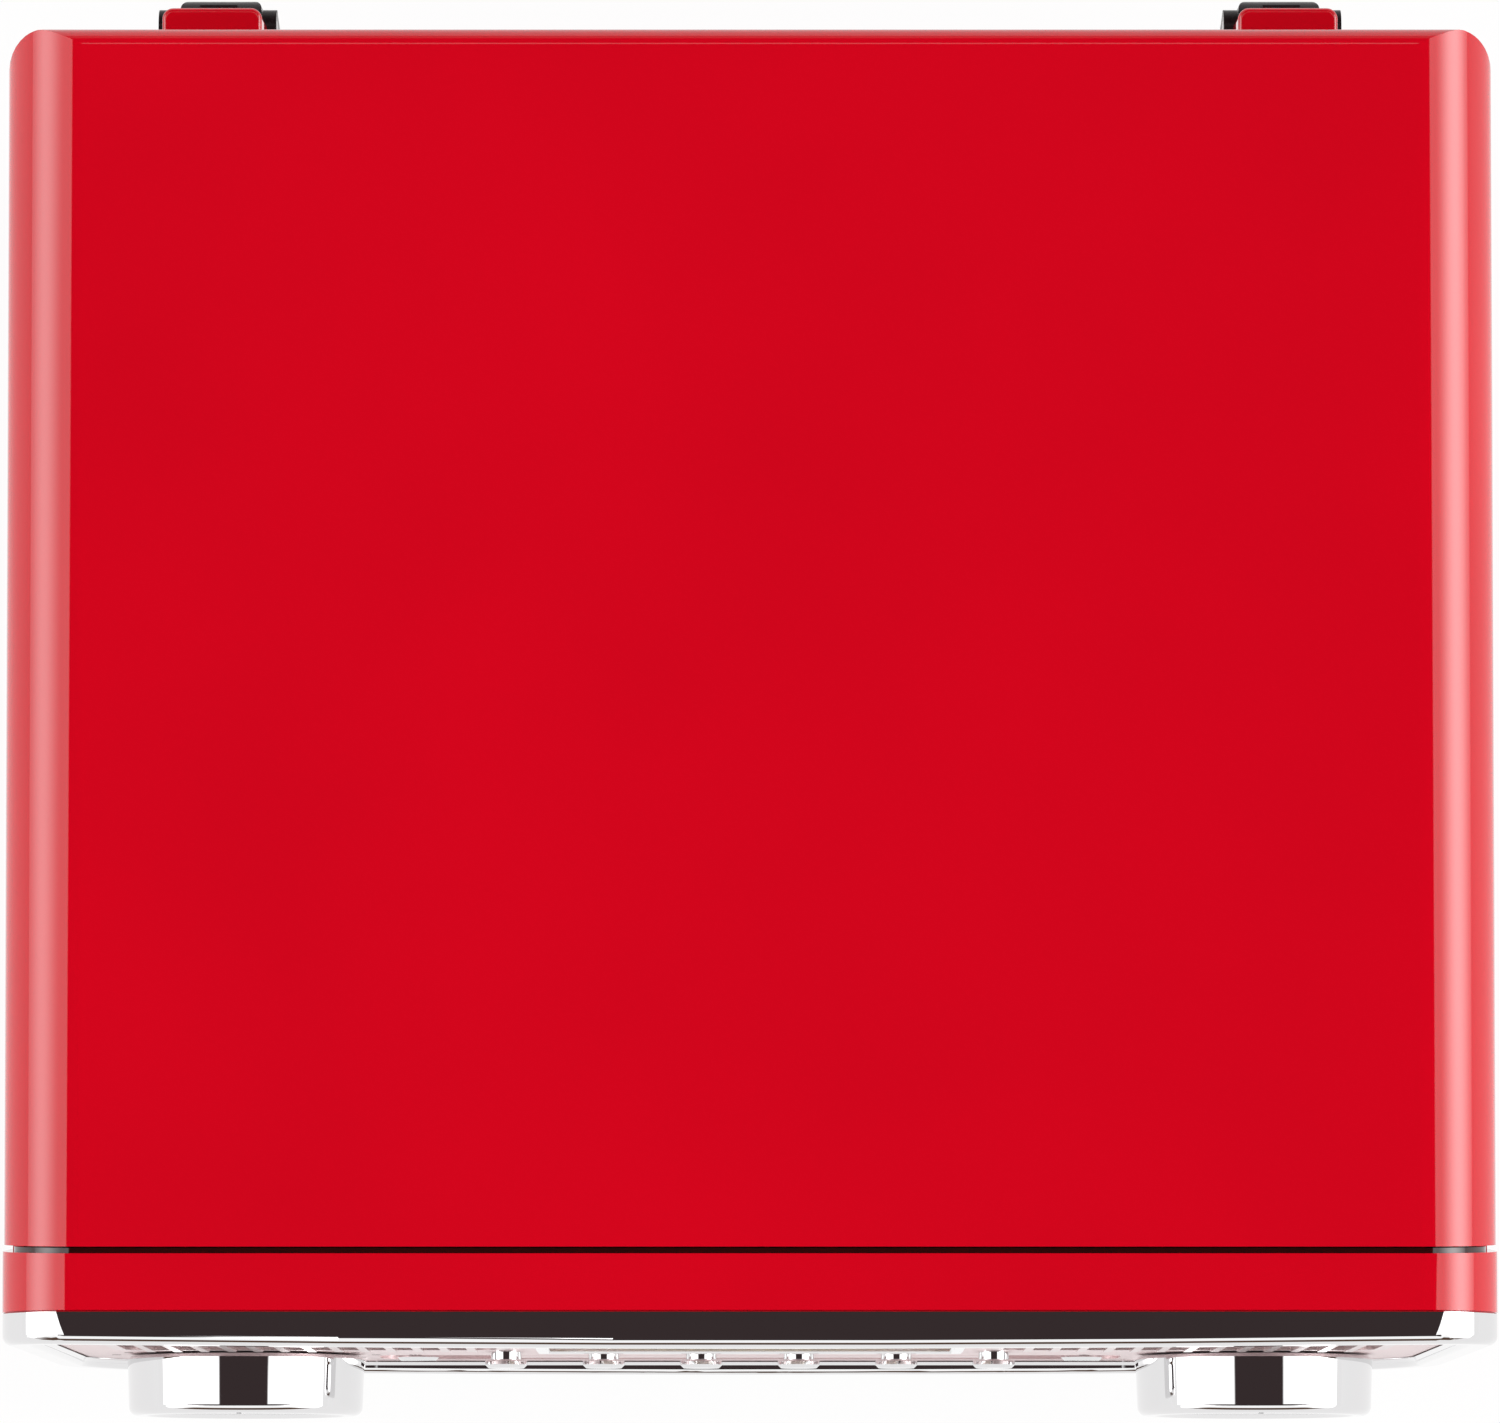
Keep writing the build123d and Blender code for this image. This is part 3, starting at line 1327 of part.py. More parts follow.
bracket_plate_top = hinge_z - barrel_radius - 1.5
bracket_thickness = 3.0
leaf_top = pocket_bottom + blade_height
leaf_front = blade_y - blade_thickness / 2
leaf_back = hinge_y + barrel_radius
ear_side = [
    (back_y, bracket_bottom), (back_y + bracket_thickness, bracket_bottom),
    (hinge_y + ear_radius - 0.6, hinge_z - 2), (hinge_y, hinge_z + ear_radius),
    (back_y, hinge_z + ear_radius),
]
for name, side in sides:
    centre = side * hinge_x
    with BuildPart() as hinge_leaf:
        with BuildSketch(Plane.YZ.offset(centre)):
            with Locations((hinge_y, hinge_z)):
                Circle(barrel_radius)
            with Locations((blade_y, (hinge_z + leaf_top) / 2)):
                Rectangle(blade_thickness, leaf_top - hinge_z)
            with Locations((hinge_y, hinge_z)):
                Circle(hinge_pin_radius + running, mode=Mode.SUBTRACT)
        extrude(amount=barrel_length / 2, both=True)
        # upright corners rounded at the back
        with BuildSketch(Plane.XY.offset(hinge_z - barrel_radius)) as leaf_plan:
            with Locations((centre, (leaf_front + leaf_back) / 2)):
                Rectangle(barrel_length, leaf_back - leaf_front)
            fillet(leaf_plan.vertices().group_by(Axis.Y)[-1], barrel_corner)
            with Locations((centre, leaf_front)):
                Rectangle(barrel_length, 2 * barrel_radius)
        extrude(amount=leaf_top - hinge_z + barrel_radius, mode=Mode.INTERSECT)
        with BuildSketch(Plane.YZ.offset(centre)):
            with Locations((hinge_y + tab_shift, hinge_z + tab_height)):
                Rectangle(tab_thickness, tab_height)
        extrude(amount=tab_width / 2, both=True)
    write(hinge_leaf, f"hinge_leaf_{name}")

    with BuildPart() as hinge_bracket:
        with BuildSketch(Plane.XZ.offset(-back_y)):
            with Locations((side * (hinge_x + pin_shift), (bracket_bottom + bracket_plate_top) / 2)):
                Rectangle(pin_length, bracket_plate_top - bracket_bottom)
            with Locations(*[p for p in bracket_screws if abs(p[0] - centre) < pin_length / 2]):
                Circle(screw_radius, mode=Mode.SUBTRACT)
        extrude(amount=-bracket_thickness)
        for start, width in ((ear_reach, ear_outer), (-ear_reach, -ear_inner)):
            with BuildSketch(Plane.YZ.offset(centre + side * start)):
                with Locations((hinge_y, hinge_z)):
                    Circle(ear_radius)
                with BuildLine():
                    Polyline(*ear_side, close=True)
                make_face()
                with Locations((hinge_y, hinge_z)):
                    Circle(hinge_pin_radius, mode=Mode.SUBTRACT)
            extrude(amount=side * width)
    write(hinge_bracket, f"hinge_bracket_{name}")

buffer_height = lid_seam - fit
buffer_size = (wall - 0.8, 10.0)
buffer_end = 45.0          # end of the rim to a buffer
with BuildPart() as lid_buffers:
    with BuildSketch(Plane.XY.offset(lid_split)):
        with Locations((0, spindle_y)):
            with GridLocations(cabinet_width - wall, lid_depth - 2 * buffer_end, 2, 2):
                Rectangle(*buffer_size)
    extrude(amount=buffer_height)
write(lid_buffers, "lid_buffers")

# ================================================================== sockets, board and screws at the back
rca_radius = 4.15
rca_length = 9.0
rca_bore = 1.65
flange_thickness = 1.6
rca_flange_radius = 6.0
rca_tail = 6.0             # body behind the outside of the back wall
aux_bore = 1.8
aux_flange_radius = 5.5
aux_tail = 14.0
inlet_flange_radius = 6.5
inlet_tail = 12.0
inlet_bore = 3.0
inlet_depth = 9.0
inlet_pin_radius = 1.0


def along_back(x):
    """Drawing plane through an axis that leaves the back of the cabinet at socket height."""
    return Plane(origin=(x, 0, jack_z), x_dir=(1, 0, 0), z_dir=(0, 0, 1))


rca_start = back_y + flange_thickness
with BuildPart() as rca_jacks:
    for x in rca_xs:
        add(
            turned(
                along_back(x),
                [
                    (rca_bore, back_y - rca_tail), (jack_body_radius, back_y - rca_tail),
                    (jack_body_radius, back_y), (rca_flange_radius, back_y),
                    (rca_flange_radius, rca_start), (rca_radius, rca_start),
                    (rca_radius, rca_start + rca_length), (rca_bore, rca_start + rca_length),
                ],
            ).part
        )
write(rca_jacks, "rca_jacks")
write(
    turned(
        along_back(aux_x),
        [
            (aux_bore, back_y - aux_tail), (jack_body_radius, back_y - aux_tail),
            (jack_body_radius, back_y), (aux_flange_radius, back_y),
            (aux_flange_radius, back_y + flange_thickness), (aux_bore, back_y + flange_thickness),
        ],
    ),
    "aux_jack",
)
write(
    turned(
        along_back(inlet_x),
        [
            (0, back_y - inlet_tail), (jack_body_radius, back_y - inlet_tail),
            (jack_body_radius, back_y), (inlet_flange_radius, back_y),
            (inlet_flange_radius, back_y + flange_thickness), (inlet_bore, back_y + flange_thickness),
            (inlet_bore, back_y - inlet_depth), (inlet_pin_radius, back_y - inlet_depth),
            (inlet_pin_radius, back_y), (0, back_y),
        ],
    ),
    "power_inlet",
)

main_board_z = cover_top + 8.0
main_board_y = back_y - 90.0
main_board_size = (190.0, 110.0)
main_post_inset = 6.0
heat_sink = (40.0, 12.0)
heat_sink_place = (-62.0, main_board_y - 13)
transformer_side = 18.0
transformer_place = (30.0, main_board_y - 25)
tall_parts_height = 24.0
capacitor_radius = 6.0
capacitor_height = 18.0
capacitor_places = [(-50, main_board_y + 15), (-30, main_board_y + 15), (62, main_board_y + 5)]
with BuildPart() as main_board:
    with BuildSketch(Plane.XY.offset(main_board_z)):
        with Locations((0, main_board_y)):
            Rectangle(*main_board_size)
    extrude(amount=board_thickness)
    with BuildSketch(Plane.XY.offset(cover_top)):
        with Locations((0, main_board_y)):
            with GridLocations(*[size - 2 * main_post_inset for size in main_board_size], 2, 2):
                Circle(post_radius)
    extrude(amount=main_board_z - cover_top)
    with BuildSketch(Plane.XY.offset(main_board_z + board_thickness)):
        with Locations(heat_sink_place):
            Rectangle(*heat_sink)
        with Locations(transformer_place):
            Rectangle(transformer_side, transformer_side)
    extrude(amount=tall_parts_height)
    with BuildSketch(Plane.XY.offset(main_board_z + board_thickness)):
        with Locations(*capacitor_places):
            Circle(capacitor_radius)
    extrude(amount=capacitor_height)
write(main_board, "main_board")

bracket_face = back_y + bracket_thickness
with BuildPart() as case_screws:
    with BuildSketch(Plane.XZ.offset(-bracket_face)):
        with Locations(*bracket_screws):
            Circle(screw_head_radius)
    extrude(amount=-screw_head_height)
    with BuildSketch(Plane.XZ.offset(-bracket_face)):
        with Locations(*bracket_screws):
            Circle(screw_radius)
    extrude(amount=bracket_thickness + wall + screw_reach)
    with BuildSketch(Plane.XY.offset(foot_height)):
        with Locations(*cover_screws):
            Circle(screw_head_radius)
    extrude(amount=-screw_head_height)
    with BuildSketch(Plane.XY.offset(foot_height)):
        with Locations(*cover_screws):
            Circle(screw_radius)
    extrude(amount=floor_thickness + screw_reach)
write(case_screws, "case_screws")
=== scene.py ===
"""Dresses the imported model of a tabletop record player: finishes, printed scales, fittings and a studio.

Everything is in metres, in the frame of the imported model: +Z up, front towards -Y.
"""
import json
from math import cos, pi, radians, sin

import bmesh
import bpy
from bpy.props import FloatProperty, FloatVectorProperty, IntProperty, PointerProperty
from bpy.types import Operator, Panel, PropertyGroup
from mathutils import Matrix, Vector


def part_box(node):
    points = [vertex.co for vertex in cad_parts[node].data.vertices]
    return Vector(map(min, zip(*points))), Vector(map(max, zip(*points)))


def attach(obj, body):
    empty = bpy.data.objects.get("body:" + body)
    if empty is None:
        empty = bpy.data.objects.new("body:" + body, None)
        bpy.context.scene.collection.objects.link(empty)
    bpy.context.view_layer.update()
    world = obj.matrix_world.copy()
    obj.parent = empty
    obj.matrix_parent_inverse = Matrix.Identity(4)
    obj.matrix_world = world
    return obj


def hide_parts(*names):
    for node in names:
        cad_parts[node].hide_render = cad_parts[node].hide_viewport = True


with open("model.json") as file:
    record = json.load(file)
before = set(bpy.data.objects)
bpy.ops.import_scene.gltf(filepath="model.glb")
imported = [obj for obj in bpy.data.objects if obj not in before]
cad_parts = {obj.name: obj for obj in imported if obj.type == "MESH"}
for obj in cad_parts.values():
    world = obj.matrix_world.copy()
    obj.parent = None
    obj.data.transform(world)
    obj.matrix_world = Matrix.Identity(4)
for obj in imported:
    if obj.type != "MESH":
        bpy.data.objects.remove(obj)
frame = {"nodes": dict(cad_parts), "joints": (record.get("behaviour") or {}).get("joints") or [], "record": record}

bl_info = {
    "name": "Record Player Finishes",
    "version": (1, 0, 0),
    "blender": (4, 5, 0),
    "location": "View3D > Sidebar > Record Player",
    "description": "Finishes, scales and fittings for a tabletop record player",
    "category": "Object",
}

MM = 0.001
JOINTS = {joint["name"]: joint for joint in frame["joints"]}
SLOTS = {part["node"]: part["material_slot"] for part in frame["record"]["subparts"]}
KNOBS = ("volume", "tuning")
UP = (0.0, 0.0, 1.0)
DOWN = (0.0, 0.0, -1.0)
BACK = (0.0, 1.0, 0.0)
# outward and upward directions of the leaning front
OUTWARD = -Vector(JOINTS["volume_turn"]["axis"]).normalized()
UPWARD = OUTWARD.cross(Vector((1.0, 0.0, 0.0)))
PRINT_LIFT = 0.04 * MM     # printed marks stand this far off their surface
FILM = 0.05 * MM           # thickness of a printed mark
ROUNDED = radians(35.0)    # turned pieces are smooth across edges flatter than this


# --- settings
def length(name, description, default):
    return FloatProperty(name=name, description=description, default=default, min=0.0, unit="LENGTH")


def share(name, description, default):
    return FloatProperty(
        name=name, description=description, default=default, min=0.0, max=1.0, subtype="FACTOR"
    )


def level(name, description, default):
    return FloatProperty(name=name, description=description, default=default, min=0.0, soft_max=10.0)


def angle(name, description, default):
    return FloatProperty(name=name, description=description, default=radians(default), subtype="ANGLE")


def colour(name, description, default):
    return FloatVectorProperty(
        name=name, description=description, default=default, size=3, min=0.0, max=1.0, subtype="COLOR"
    )


class LacquerSettings(PropertyGroup):
    """Red lacquer of lid, cabinet and frame"""
    tint: colour("Lacquer", "Colour of the lacquer", (0.610, 0.0, 0.0095))
    depth: share("Depth", "How much the colour varies", 0.035)
    coat: share("Coat", "Strength of the clear coat", 1.0)
    # painted shade: this near-black red colours the trim in the gap under the lid and stands in for the shade that
    # falls in that gap
    gap: colour("Gap", "Colour of the gap under the lid", (0.045, 0.002, 0.002))


class MetalSettings(PropertyGroup):
    """Bright and plain metals"""
    chrome: colour("Chrome", "Colour of the mirror plating", (0.780, 0.775, 0.780))
    steel: colour("Steel", "Colour of pins, screws and bearings", (0.560, 0.555, 0.550))
    brass: colour("Brass", "Colour of the gilt sockets and the pulley", (0.830, 0.640, 0.300))


class PanelSettings(PropertyGroup):
    """Front panel and what is printed on it"""
    tint: colour("Panel", "Colour of the satin panel", (0.830, 0.660, 0.665))
    ink: colour("Ink", "Colour of the printed marks", (0.030, 0.022, 0.022))
    cloth: colour("Cloth", "Colour of the weave behind the grilles", (0.480, 0.360, 0.350))
    symbol: length("Symbol", "Height of the marks over the buttons", 3.0 * MM)
    tick: length("Tick", "Length of the marks round the volume knob", 2.6 * MM)
    tick_count: IntProperty(name="Ticks", description="Marks round the volume knob", default=11, min=3)


class DialSettings(PropertyGroup):
    """Tuning dial"""
    face: colour("Face", "Colour of the dial's face", (0.880, 0.800, 0.600))
    needle: colour("Needle", "Colour of the needle", (0.700, 0.025, 0.012))
    lens: share("Lens", "How much the clear lens shows", 0.30)
    numeral: length("Numerals", "Height of the dial's numerals", 4.6 * MM)
    sweep: angle("Sweep", "Half the sweep of the scales", 66.0)


class DeckSettings(PropertyGroup):
    """Deck, arm and drive"""
    plastic: colour("Plastic", "Colour of the deck's satin plastic", (0.022, 0.022, 0.024))
    felt: colour("Felt", "Colour of the slip mat", (0.030, 0.030, 0.034))
    numeral: length("Numerals", "Height of the speed numerals", 3.4 * MM)


class FittingSettings(PropertyGroup):
    """Screws, feet and sockets"""
    head: length("Screw head", "Radius of a screw head", 3.0 * MM)
    head_rise: length("Head height", "Height of a screw head", 1.8 * MM)
    recess: length("Foot recess", "Radius of the recess under a foot", 6.0 * MM)
    left_ring: colour("Left socket", "Insulator of the left audio socket", (0.75, 0.74, 0.70))
    right_ring: colour("Right socket", "Insulator of the right audio socket", (0.62, 0.010, 0.012))


class StudioSettings(PropertyGroup):
    """Camera, floor and light"""
    distance: length("Distance", "Camera to the top of the lid", 2.05)
    aim: length("Aim", "Point looked at, in front of the middle", 0.55 * MM)
    tilt: angle("Tilt", "Lean of the camera towards the front", 2.55)
    focal: FloatProperty(name="Focal length", description="Lens, in millimetres", default=182.5, min=1.0)
    floor: length("Floor", "Side of the square floor", 7.0)
    floor_tint: share("Floor tint", "How pale the floor is", 0.62)
    floor_glow: share("Floor glow", "How little of a shadow the floor shows", 0.90)
    wall_light: level("Side walls", "Brightness of the side walls", 1.5)
    left_lamp: level("Left lamp", "Brightness of the lamp on the left", 2.6)
    right_lamp: level("Right lamp", "Brightness of the lamp on the right", 4.6)
    front_light: level("Front light", "Brightness in front", 1.2)
    back_light: level("Back light", "Brightness behind", 0.35)
    gap_tint: colour("Overhead gap", "Colour of the gap overhead", (0.044, 0.031, 0.032))
    slit_light: level("Slit light", "Brightness of the slit overhead", 0.9)
    window_tint: colour("Window", "Colour of the window in front", (0.105, 0.062, 0.042))


SETTINGS = {
    "lacquer": LacquerSettings, "metal": MetalSettings, "panel": PanelSettings, "dial": DialSettings,
    "deck": DeckSettings, "fitting": FittingSettings, "studio": StudioSettings,
}


def settings(group):
    """The values of one group on the open scene."""
    return getattr(bpy.context.scene, f"player_{group}")


# --- shader helpers
def opaque(tint):
    return (*tint, 1.0)


class Graph:
    """Nodes of one material or world; place is its coordinates."""

    def __init__(self, tree, coordinates):
        self.tree = tree
        tree.nodes.clear()
        self.place = self.add("TexCoord").outputs[coordinates]

    def put(self, node, key, value):
        """Links a socket to an input of a node, or writes a value there."""
        if isinstance(value, bpy.types.NodeSocket):
            self.tree.links.new(value, node.inputs[key])
        else:
            node.inputs[key].default_value = value

    def add(self, kind, inputs=None, **attributes):
        """New shader node; kind is its type without the common prefix."""
        node = self.tree.nodes.new(f"ShaderNode{kind}")
        for key, value in attributes.items():
            setattr(node, key, value)
        for key, value in (inputs or {}).items():
            self.put(node, key, value)
        return node

    def calc(self, operation, *values):
        """Result of a math node."""
        return self.add("Math", dict(enumerate(values)), operation=operation).outputs[0]

    def times(self, first, second):
        return self.calc("MULTIPLY", first, second)

    def vector(self, operation, *values):
        """Outputs of a vector math node: the vector and the number."""
        return self.add("VectorMath", dict(enumerate(values)), operation=operation).outputs

    def mix(self, factor, first, second):
        """Blend of two colours."""
        return self.add("Mix", {0: factor, 6: first, 7: second}, data_type="RGBA").outputs[2]

    def ramp(self, source, low, high, from_low=0.0, from_high=1.0):
        """source mapped smoothly from one range to another."""
        spans = {"From Min": from_low, "From Max": from_high, "To Min": low, "To Max": high}
        node = self.add("MapRange", {"Value": source, **spans}, interpolation_type="SMOOTHSTEP")
        return node.outputs[0]

    def within(self, turn, band):
        """1 where an angle is in a band: low edge, high edge and their softness, in degrees."""
        low, high, soft = map(radians, band)
        rise = self.ramp(turn, 0.0, 1.0, low - soft, low + soft)
        return self.times(rise, self.ramp(turn, 1.0, 0.0, high - soft, high + soft))

    def noise(self, scale, detail=2.0, roughness=0.5, stretch=None):
        """Noise over the object; stretch scales each axis, for brushed and fibrous finishes."""
        place = self.place
        if stretch is not None:
            place = self.add("Mapping", {"Vector": place, "Scale": stretch}).outputs[0]
        inputs = {"Vector": place, "Scale": scale, "Detail": detail, "Roughness": roughness}
        return self.add("TexNoise", inputs).outputs["Fac"]

    def bump(self, height, depth, strength=1.0):
        inputs = {"Height": height, "Distance": depth, "Strength": strength}
        return self.add("Bump", inputs).outputs[0]

    def tinted(self, source, tint, depth):
        """Colour that is tint, a little darker and lighter as source goes from 0.3 to 0.7."""
        node = self.add("ValToRGB", {"Fac": source})
        dark, light = node.color_ramp.elements
        dark.position, light.position = 0.3, 0.7
        dark.color = opaque([c * (1 - depth) for c in tint])
        light.color = opaque([min(c * (1 + depth), 1) for c in tint])
        return node.outputs[0]


class Finish(Graph):
    """A new material and its shader."""

    def __init__(self, name, **sockets):
        self.material = bpy.data.materials.new(name)
        self.material.use_nodes = True
        super().__init__(self.material.node_tree, "Object")
        self.shader = self.add("BsdfPrincipled")
        self.output = self.add("OutputMaterial", {"Surface": self.shader.outputs[0]})
        self.done(**sockets)

    def done(self, **sockets):
        """The material, once these sockets of its shader are set."""
        for key, value in sockets.items():
            self.put(self.shader, key.replace("_", " ").title().replace("Ior", "IOR"), value)
        return self.material


def grained(name, tint, depth, grain, rough=None, relief=None, **sockets):
    """Finish whose colour, roughness and relief follow one grain; grain is what its noise is given."""
    made = Finish(name, **sockets)
    source = made.noise(*grain)
    looks = {"base_color": made.tinted(source, tint, depth)}
    if rough:
        looks["roughness"] = made.ramp(source, *rough)
    if relief:
        looks["normal"] = made.bump(source, *relief)
    return made.done(**looks)


# --- finishes
def coated(name, tint, depth, scale, coat, coat_rough, rough):
    """Colour under a hard clear coat; only the coat shines."""
    return grained(
        name, tint, depth, (scale, 3.0), coat_weight=coat, coat_roughness=coat_rough,
        coat_ior=1.66, roughness=rough, specular_ior_level=0.0,
    )


def lacquer_finish():
    """Deep red lacquer."""
    values = settings("lacquer")
    return coated("red_lacquer", values.tint, values.depth, 9.0, values.coat, 0.015, 0.35)


def chrome_finish():
    """Mirror plating with the faintest haze."""
    made = Finish("mirror_chrome", metallic=1.0, base_color=opaque(settings("metal").chrome))
    return made.done(roughness=made.ramp(made.noise(40.0, 4.0), 0.015, 0.045, 0.35, 0.7))


def spun_finish(name, centre):
    """Mirror plating with turned rings round centre, on faces that look outward."""
    face, pitch, tip_radius = 27.5 * MM, 0.5 * MM, 5 * MM
    mirror, spun, tip = 0.025, 0.20, 0.40
    made = Finish(name, metallic=1.0, base_color=opaque(settings("metal").chrome))
    offset = made.vector("SUBTRACT", made.place, centre)["Vector"]
    across = made.vector("CROSS_PRODUCT", offset, OUTWARD)["Vector"]
    radius = made.vector("LENGTH", across)["Value"]
    rings = made.calc("SINE", made.times(radius, 2 * pi / pitch))
    normal = made.add("NewGeometry").outputs["Normal"]
    facing = made.calc("ABSOLUTE", made.vector("DOT_PRODUCT", normal, OUTWARD)["Value"])
    turned = made.times(made.calc("GREATER_THAN", facing, 0.97), made.calc("LESS_THAN", radius, face))
    haze = made.ramp(radius, tip, mirror, 0.0, tip_radius)
    return made.done(
        roughness=made.calc("MULTIPLY_ADD", turned, spun, haze),
        normal=made.bump(made.times(rings, turned), 0.006 * MM),
    )


def panel_finish():
    """Pale rose satin metal, brushed across."""
    strokes = (1.0, 3.0, 0.6, (35.0, 1500.0, 1500.0))
    return grained(
        "satin_panel", settings("panel").tint, 0.05, strokes, rough=(0.26, 0.40),
        relief=(0.01 * MM, 0.5), metallic=0.55,
    )


def grille_finish():
    """Satin plating of the grilles, a little warmer than the mirror plating."""
    return grained(
        "satin_grille", (0.800, 0.690, 0.690), 0.04, (900.0,), rough=(0.26, 0.36),
        relief=(0.004 * MM, 0.5), metallic=0.85,
    )


def moulded(name, tint, rough, grain=1500.0, depth=0.02 * MM, specular=0.5):
    """Moulded plastic with a fine sparked grain."""
    made = Finish(name, specular_ior_level=specular)
    spots = made.noise(grain)
    return made.done(
        base_color=made.tinted(made.noise(30.0, 3.0), tint, 0.12),
        roughness=made.ramp(spots, rough - 0.06, rough + 0.08, 0.3, 0.7),
        normal=made.bump(spots, depth, 0.7),
    )


def felt_finish():
    """Felt: short tangled fibres."""
    fibres = (1.0, 5.0, 0.7, (2600.0, 900.0, 1500.0))
    return grained(
        "mat_felt", settings("deck").felt, 0.45, fibres, relief=(0.12 * MM, 0.8), roughness=0.95,
        sheen_weight=0.25, sheen_roughness=0.5,
    )


def cloth_finish():
    """Plain weave behind the grilles: two sets of threads, each over and under the other."""
    made = Finish("speaker_weave", roughness=0.9)
    axes = made.add("SeparateXYZ", {0: made.place}).outputs
    thread = 1.1 * MM
    across, upward = (made.calc("SINE", made.times(axes[axis], 2 * pi / thread)) for axis in ("X", "Z"))
    weave = made.ramp(made.times(across, upward), 0.0, 1.0, -1.0, 1.0)
    mixed = made.calc("MULTIPLY_ADD", weave, 0.7, made.times(made.noise(3000.0), 0.3))
    return made.done(
        base_color=made.tinted(mixed, settings("panel").cloth, 0.40), normal=made.bump(mixed, 0.15 * MM)
    )


def lens_finish():
    """Clear acrylic."""
    made = Finish(
        "clear_lens", transmission_weight=1.0, ior=1.49, base_color=(0.99, 0.985, 0.975, 1.0),
        alpha=settings("dial").lens,
    )
    return made.done(roughness=made.ramp(made.noise(700.0), 0.0, 0.02, 0.4, 0.8))


def dial_finish():
    """Cream dial, screen printed on card."""
    card = (350.0, 4.0, 0.6)
    return grained(
        "cream_dial", settings("dial").face, 0.04, card, relief=(0.02 * MM, 0.5), roughness=0.5
    )


def gloss_plastic(name, tint, rough=0.16):
    return grained(
        name, tint, 0.06, (220.0, 3.0), rough=(rough, rough + 0.06), coat_weight=0.3, coat_roughness=0.05
    )


def tooled_metal(name, rough, factors, metal="steel"):
    """Bare metal with fine tool marks, drawn out along the axis with the least factor."""
    return grained(
        name, getattr(settings("metal"), metal), 0.08, (1.0, 3.0, 0.6, factors),
        rough=(rough - 0.06, rough + 0.10), relief=(0.006 * MM, 0.5), metallic=1.0,
    )


def circuit_finish():
    """Green board: solder mask over copper tracks."""
    made = Finish("green_board", roughness=0.35, coat_weight=0.4, coat_roughness=0.1)
    cells = made.add("TexBrick", {
        "Vector": made.place, "Scale": 90.0, "Mortar Size": 0.05, "Color1": (0.010, 0.085, 0.030, 1),
        "Color2": (0.012, 0.100, 0.036, 1), "Mortar": (0.030, 0.180, 0.060, 1),
    }).outputs
    return made.done(base_color=cells["Color"], normal=made.bump(cells["Fac"], 0.03 * MM, 0.6))


def ink_finish(name, tint):
    """Matt printing ink."""
    return grained(name, tint, 0.10, (2500.0,), rough=(0.42, 0.62))


# finish of each material slot in the record
FINISHES = {
    "red_gloss": lacquer_finish,
    "chrome": chrome_finish,
    "panel": panel_finish,
    "black_plastic": lambda: moulded("black_moulding", (0.016, 0.016, 0.018), 0.34),
    "deck_plastic": lambda: moulded("deck_moulding", settings("deck").plastic, 0.30, 2200.0, 0.012 * MM),
    "rubber": lambda: moulded("black_rubber", (0.020, 0.020, 0.021), 0.72, 900.0, 0.03 * MM),
    "slip_mat": felt_finish,
    "cloth": cloth_finish,
    "speaker": lambda: moulded("pressed_paper", (0.030, 0.028, 0.026), 0.66, 1200.0, 0.05 * MM),
    "lens": lens_finish,
    "dial_face": dial_finish,
    "needle": lambda: gloss_plastic("red_needle", settings("dial").needle),
    "steel": lambda: tooled_metal("bright_steel", 0.24, (2400.0, 2400.0, 90.0)),
    "brass": lambda: tooled_metal("gilt_brass", 0.20, (2000.0, 90.0, 2000.0), "brass"),
    "circuit": circuit_finish,
    "cartridge": lambda: gloss_plastic("red_cartridge", (0.42, 0.012, 0.010)),
}


def dress(node, material):
    """Puts material in every slot of a CAD node."""
    materials = frame["nodes"][node].data.materials
    materials.clear()
    materials.append(material)


def dress_slots(*slots):
    """Dresses the nodes of these record slots with their finishes."""
    for name in slots:
        material = FINISHES[name]()
        for node in [n for n, slot in SLOTS.items() if slot == name]:
            dress(node, material)


# --- mesh helpers
def from_bmesh(name, bm, smooth_angle=None):
    """Mesh from a bmesh, smooth where its faces meet at less than smooth_angle."""
    bmesh.ops.recalc_face_normals(bm, faces=bm.faces)
    mesh = bpy.data.meshes.new(name)
    if smooth_angle is not None:
        for face in bm.faces:
            face.smooth = True
        for edge in bm.edges:
            edge.smooth = len(edge.link_faces) == 2 and edge.calc_face_angle(pi) < smooth_angle
    bm.to_mesh(mesh)
    bm.free()
    return mesh


def place_object(name, data):
    """New object on the scene."""
    made = bpy.data.objects.new(name, data)
    bpy.context.scene.collection.objects.link(made)
    return made


def piece(name, bm, material, body, smooth_angle=None):
    """Shown object from a bmesh, riding on a body."""
    made = place_object(name, from_bmesh(name, bm, smooth_angle))
    made.data.materials.append(material)
    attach(made, body)
    return made


def polar(radius, turn):
    return radius * cos(turn), radius * sin(turn)


def slab(width, height, x=0.0, y=0.0):
    """Corners of a rectangle about a point."""
    half, rise = width / 2, height / 2
    return [(x - half, y - rise), (x + half, y - rise), (x + half, y + rise), (x - half, y + rise)]


def add_plate(bm, outline, matrix, thickness):
    """Thin solid with the outline given on matrix's XY plane, standing up along its Z."""
    low = [bm.verts.new(matrix @ Vector((x, y, 0.0))) for x, y in outline]
    high = [bm.verts.new(matrix @ Vector((x, y, thickness))) for x, y in outline]
    bm.faces.new(list(reversed(low)))
    bm.faces.new(high)
    for i, start in enumerate(low):
        j = (i + 1) % len(low)
        bm.faces.new((start, low[j], high[j], high[i]))


def add_bar(bm, matrix, width, height, thickness=FILM, centre=(0.0, 0.0), turn=0.0):
    """Thin rectangle on matrix's XY plane."""
    placed = matrix @ Matrix.Translation((*centre, 0.0)) @ Matrix.Rotation(turn, 4, "Z")
    add_plate(bm, slab(width, height), placed, thickness)


